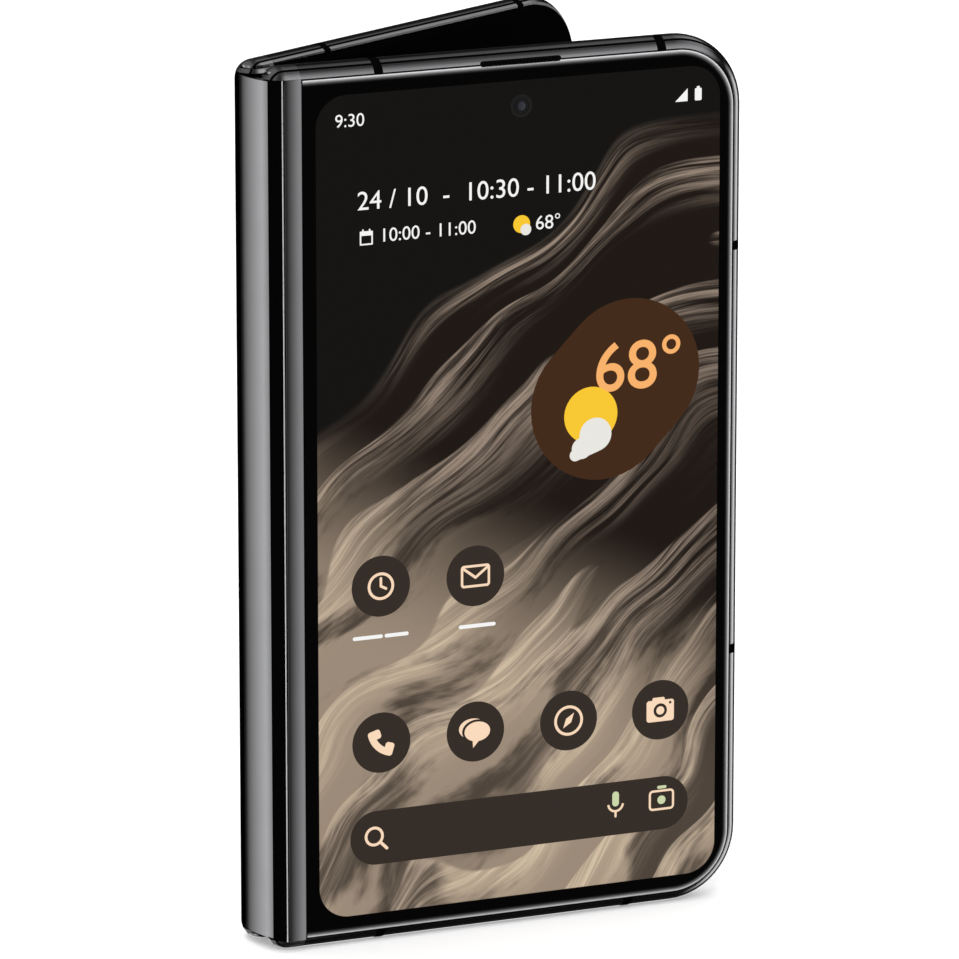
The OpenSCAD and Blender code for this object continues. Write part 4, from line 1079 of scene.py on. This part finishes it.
class PHONE_OT_stage(bpy.types.Operator):
    """Adds the camera, the pale floor and the soft studio light"""

    bl_idname = "phone.stage"
    bl_label = "Stage"

    def execute(self, context):
        s = context.scene.phone_stage
        back = Vector((sin(s.azimuth) * cos(s.elevation), -cos(s.azimuth) * cos(s.elevation),
                       sin(s.elevation)))
        data = bpy.data.cameras.new("camera")
        data.lens, data.sensor_width = s.lens, SENSOR
        camera = link("camera", data)
        aim(camera, Vector(s.target) + back * s.distance, s.target)
        context.scene.camera = camera
        make_floor(s)
        make_lamps()
        make_world(context.scene)
        context.scene.view_settings.view_transform = "Standard"
        return {"FINISHED"}


def aim(obj, place, target):
    """Puts a camera or a lamp at a place, facing a target."""
    obj.location = place
    obj.rotation_mode = "QUATERNION"
    obj.rotation_quaternion = (Vector(target) - Vector(place)).to_track_quat("-Z", "Y")


SENSOR = 36  # width of the camera's sensor, in millimetres
FLOOR_R, FLOOR_GLOW = 6.0, 0.3  # in metres; what the camera sees of the floor's own white
LAMPS_AT = (0.03, 0, 0.05)  # what the lamps face, in metres


def make_floor(s):
    bm = bmesh.new()
    bmesh.ops.create_circle(bm, cap_ends=True, radius=FLOOR_R, segments=96)
    mesh = bpy.data.meshes.new("floor")
    bm.to_mesh(mesh)
    bm.free()
    floor = link("floor", mesh)
    floor.visible_glossy = False
    finish = Finish("floor", roughness=0.9, specular=0.1)
    soft = finish.noise(finish.here(), 0.002, 1.0)
    paler = tuple(min(1, c * 1.02) for c in s.floor_colour)
    finish.set(base_color=finish.mix(soft, tuple(s.floor_colour), paler))
    seen = finish.add("LightPath", {}, "Is Camera Ray")
    finish.set(emission_color=(1, 1, 1), emission_strength=finish.times(seen, FLOOR_GLOW))
    mesh.materials.append(finish.material)


def make_lamps():
    """Large soft lamps; they light the floor, and the world holds what the metal reflects."""
    for name, place, size, power in (
        ("key_lamp", (-0.9, -1.1, 1.6), 1.4, 22),
        ("top_lamp", (0.3, 0.4, 2.0), 1.8, 30),
    ):
        data = bpy.data.lights.new(name, "AREA")
        data.size, data.energy = size, power
        lamp = link(name, data)
        lamp.visible_glossy = False
        aim(lamp, place, LAMPS_AT)


# Soft boxes round the phone, in degrees: the directions from +X where each starts, is full, is no
# longer full and ends; the same for its heights, where an end past 90 is open; and its brightness
SOFT_BOXES = (
    (102, 147, 148, 158, -60, -45, 0, 25, 3.4),
    (165, 178, 200, 215, -60, -45, 0, 25, 2.0),
    (252, 295, 305, 318, -60, -45, 0, 12, 2.1),
    (332, 345, 352, 367, -60, -45, 0, 14, 4.7),
    (262, 275, 318, 340, 16, 30, 34, 70, 2.7),
    (-40, -10, 12, 47, 26, 38, 50, 76, 1.9),
    (60, 90, 190, 230, 20, 40, 90, 91, 0.6),
    (28, 48, 80, 95, -60, -50, -12, -4, 1.6),
)
DARK_GAPS, AMBIENT = 0.03, 0.55  # brightness between the soft boxes, and for what is not glossy


def make_world(scene):
    """A pale background, and soft boxes between dark gaps for what reflects them."""
    world = bpy.data.worlds.new("studio")
    world.use_nodes = True
    scene.world = world
    nodes = Nodes(world.node_tree)
    nodes.tree.nodes.clear()
    towards = nodes.add("TexCoord", {})
    height = nodes.split(towards)[2]
    mirrored = DARK_GAPS
    for first, second, third, last, start, rise, fall, end, brightness in SOFT_BOXES:
        ahead = radians((second + third) / 2)
        x, y, _ = nodes.split(nodes.add(
            "VectorRotate", {"Vector": towards, "Angle": -ahead}, rotation_type="Z_AXIS"))
        aside = nodes.math("ARCTAN2", y, x)
        slopes = [(aside, radians(first) - ahead, radians(second) - ahead),
                  (aside, radians(last) - ahead, radians(third) - ahead),
                  (height, sin(radians(start)), sin(radians(rise)))]
        if end <= 90:
            slopes.append((height, sin(radians(end)), sin(radians(fall))))
        for slope in slopes:
            brightness = nodes.times(brightness, nodes.step(*slope, "LINEAR"))
        mirrored = nodes.plus(mirrored, brightness)
    amount = AMBIENT
    for ray, value in (("Is Glossy Ray", mirrored), ("Is Camera Ray", 1.0)):
        share = nodes.add("LightPath", {}, ray)
        amount = nodes.add("Mix", {0: share, 2: amount, 3: value}, data_type="FLOAT")
    output = nodes.tree.nodes.new("ShaderNodeOutputWorld")
    nodes.feed(output.inputs[0], nodes.add("Background", {"Color": (1, 1, 1), "Strength": amount}))


# ---- the add-on

OPERATORS = (
    PHONE_OT_metal, PHONE_OT_trim, PHONE_OT_outer_display, PHONE_OT_small_cameras,
    PHONE_OT_keys, PHONE_OT_rear_cameras, PHONE_OT_bending_sheets, PHONE_OT_stage)


class PHONE_PT_panel(bpy.types.Panel):
    """Lists what dresses the phone, in the 3D view's sidebar"""

    bl_idname = "PHONE_PT_panel"
    bl_label = "Foldable smartphone"
    bl_space_type = "VIEW_3D"
    bl_region_type = "UI"
    bl_category = "Phone"

    def draw(self, context):
        for operator in OPERATORS:
            self.layout.operator(operator.bl_idname)
        for name, group in SETTINGS.items():
            box = self.layout.box()
            for key in group.__annotations__:
                box.prop(getattr(context.scene, name), key)


CLASSES = (*SETTINGS.values(), *OPERATORS, PHONE_PT_panel)


def register():
    for cls in CLASSES:
        bpy.utils.register_class(cls)
    for name, group in SETTINGS.items():
        setattr(bpy.types.Scene, name, bpy.props.PointerProperty(type=group))


def unregister():
    for name in SETTINGS:
        delattr(bpy.types.Scene, name)
    for cls in reversed(CLASSES):
        bpy.utils.unregister_class(cls)


def main():
    register()
    for operator in OPERATORS:
        group, name = operator.bl_idname.split(".")
        getattr(getattr(bpy.ops, group), name)()


if __name__ == "__main__":
    main()
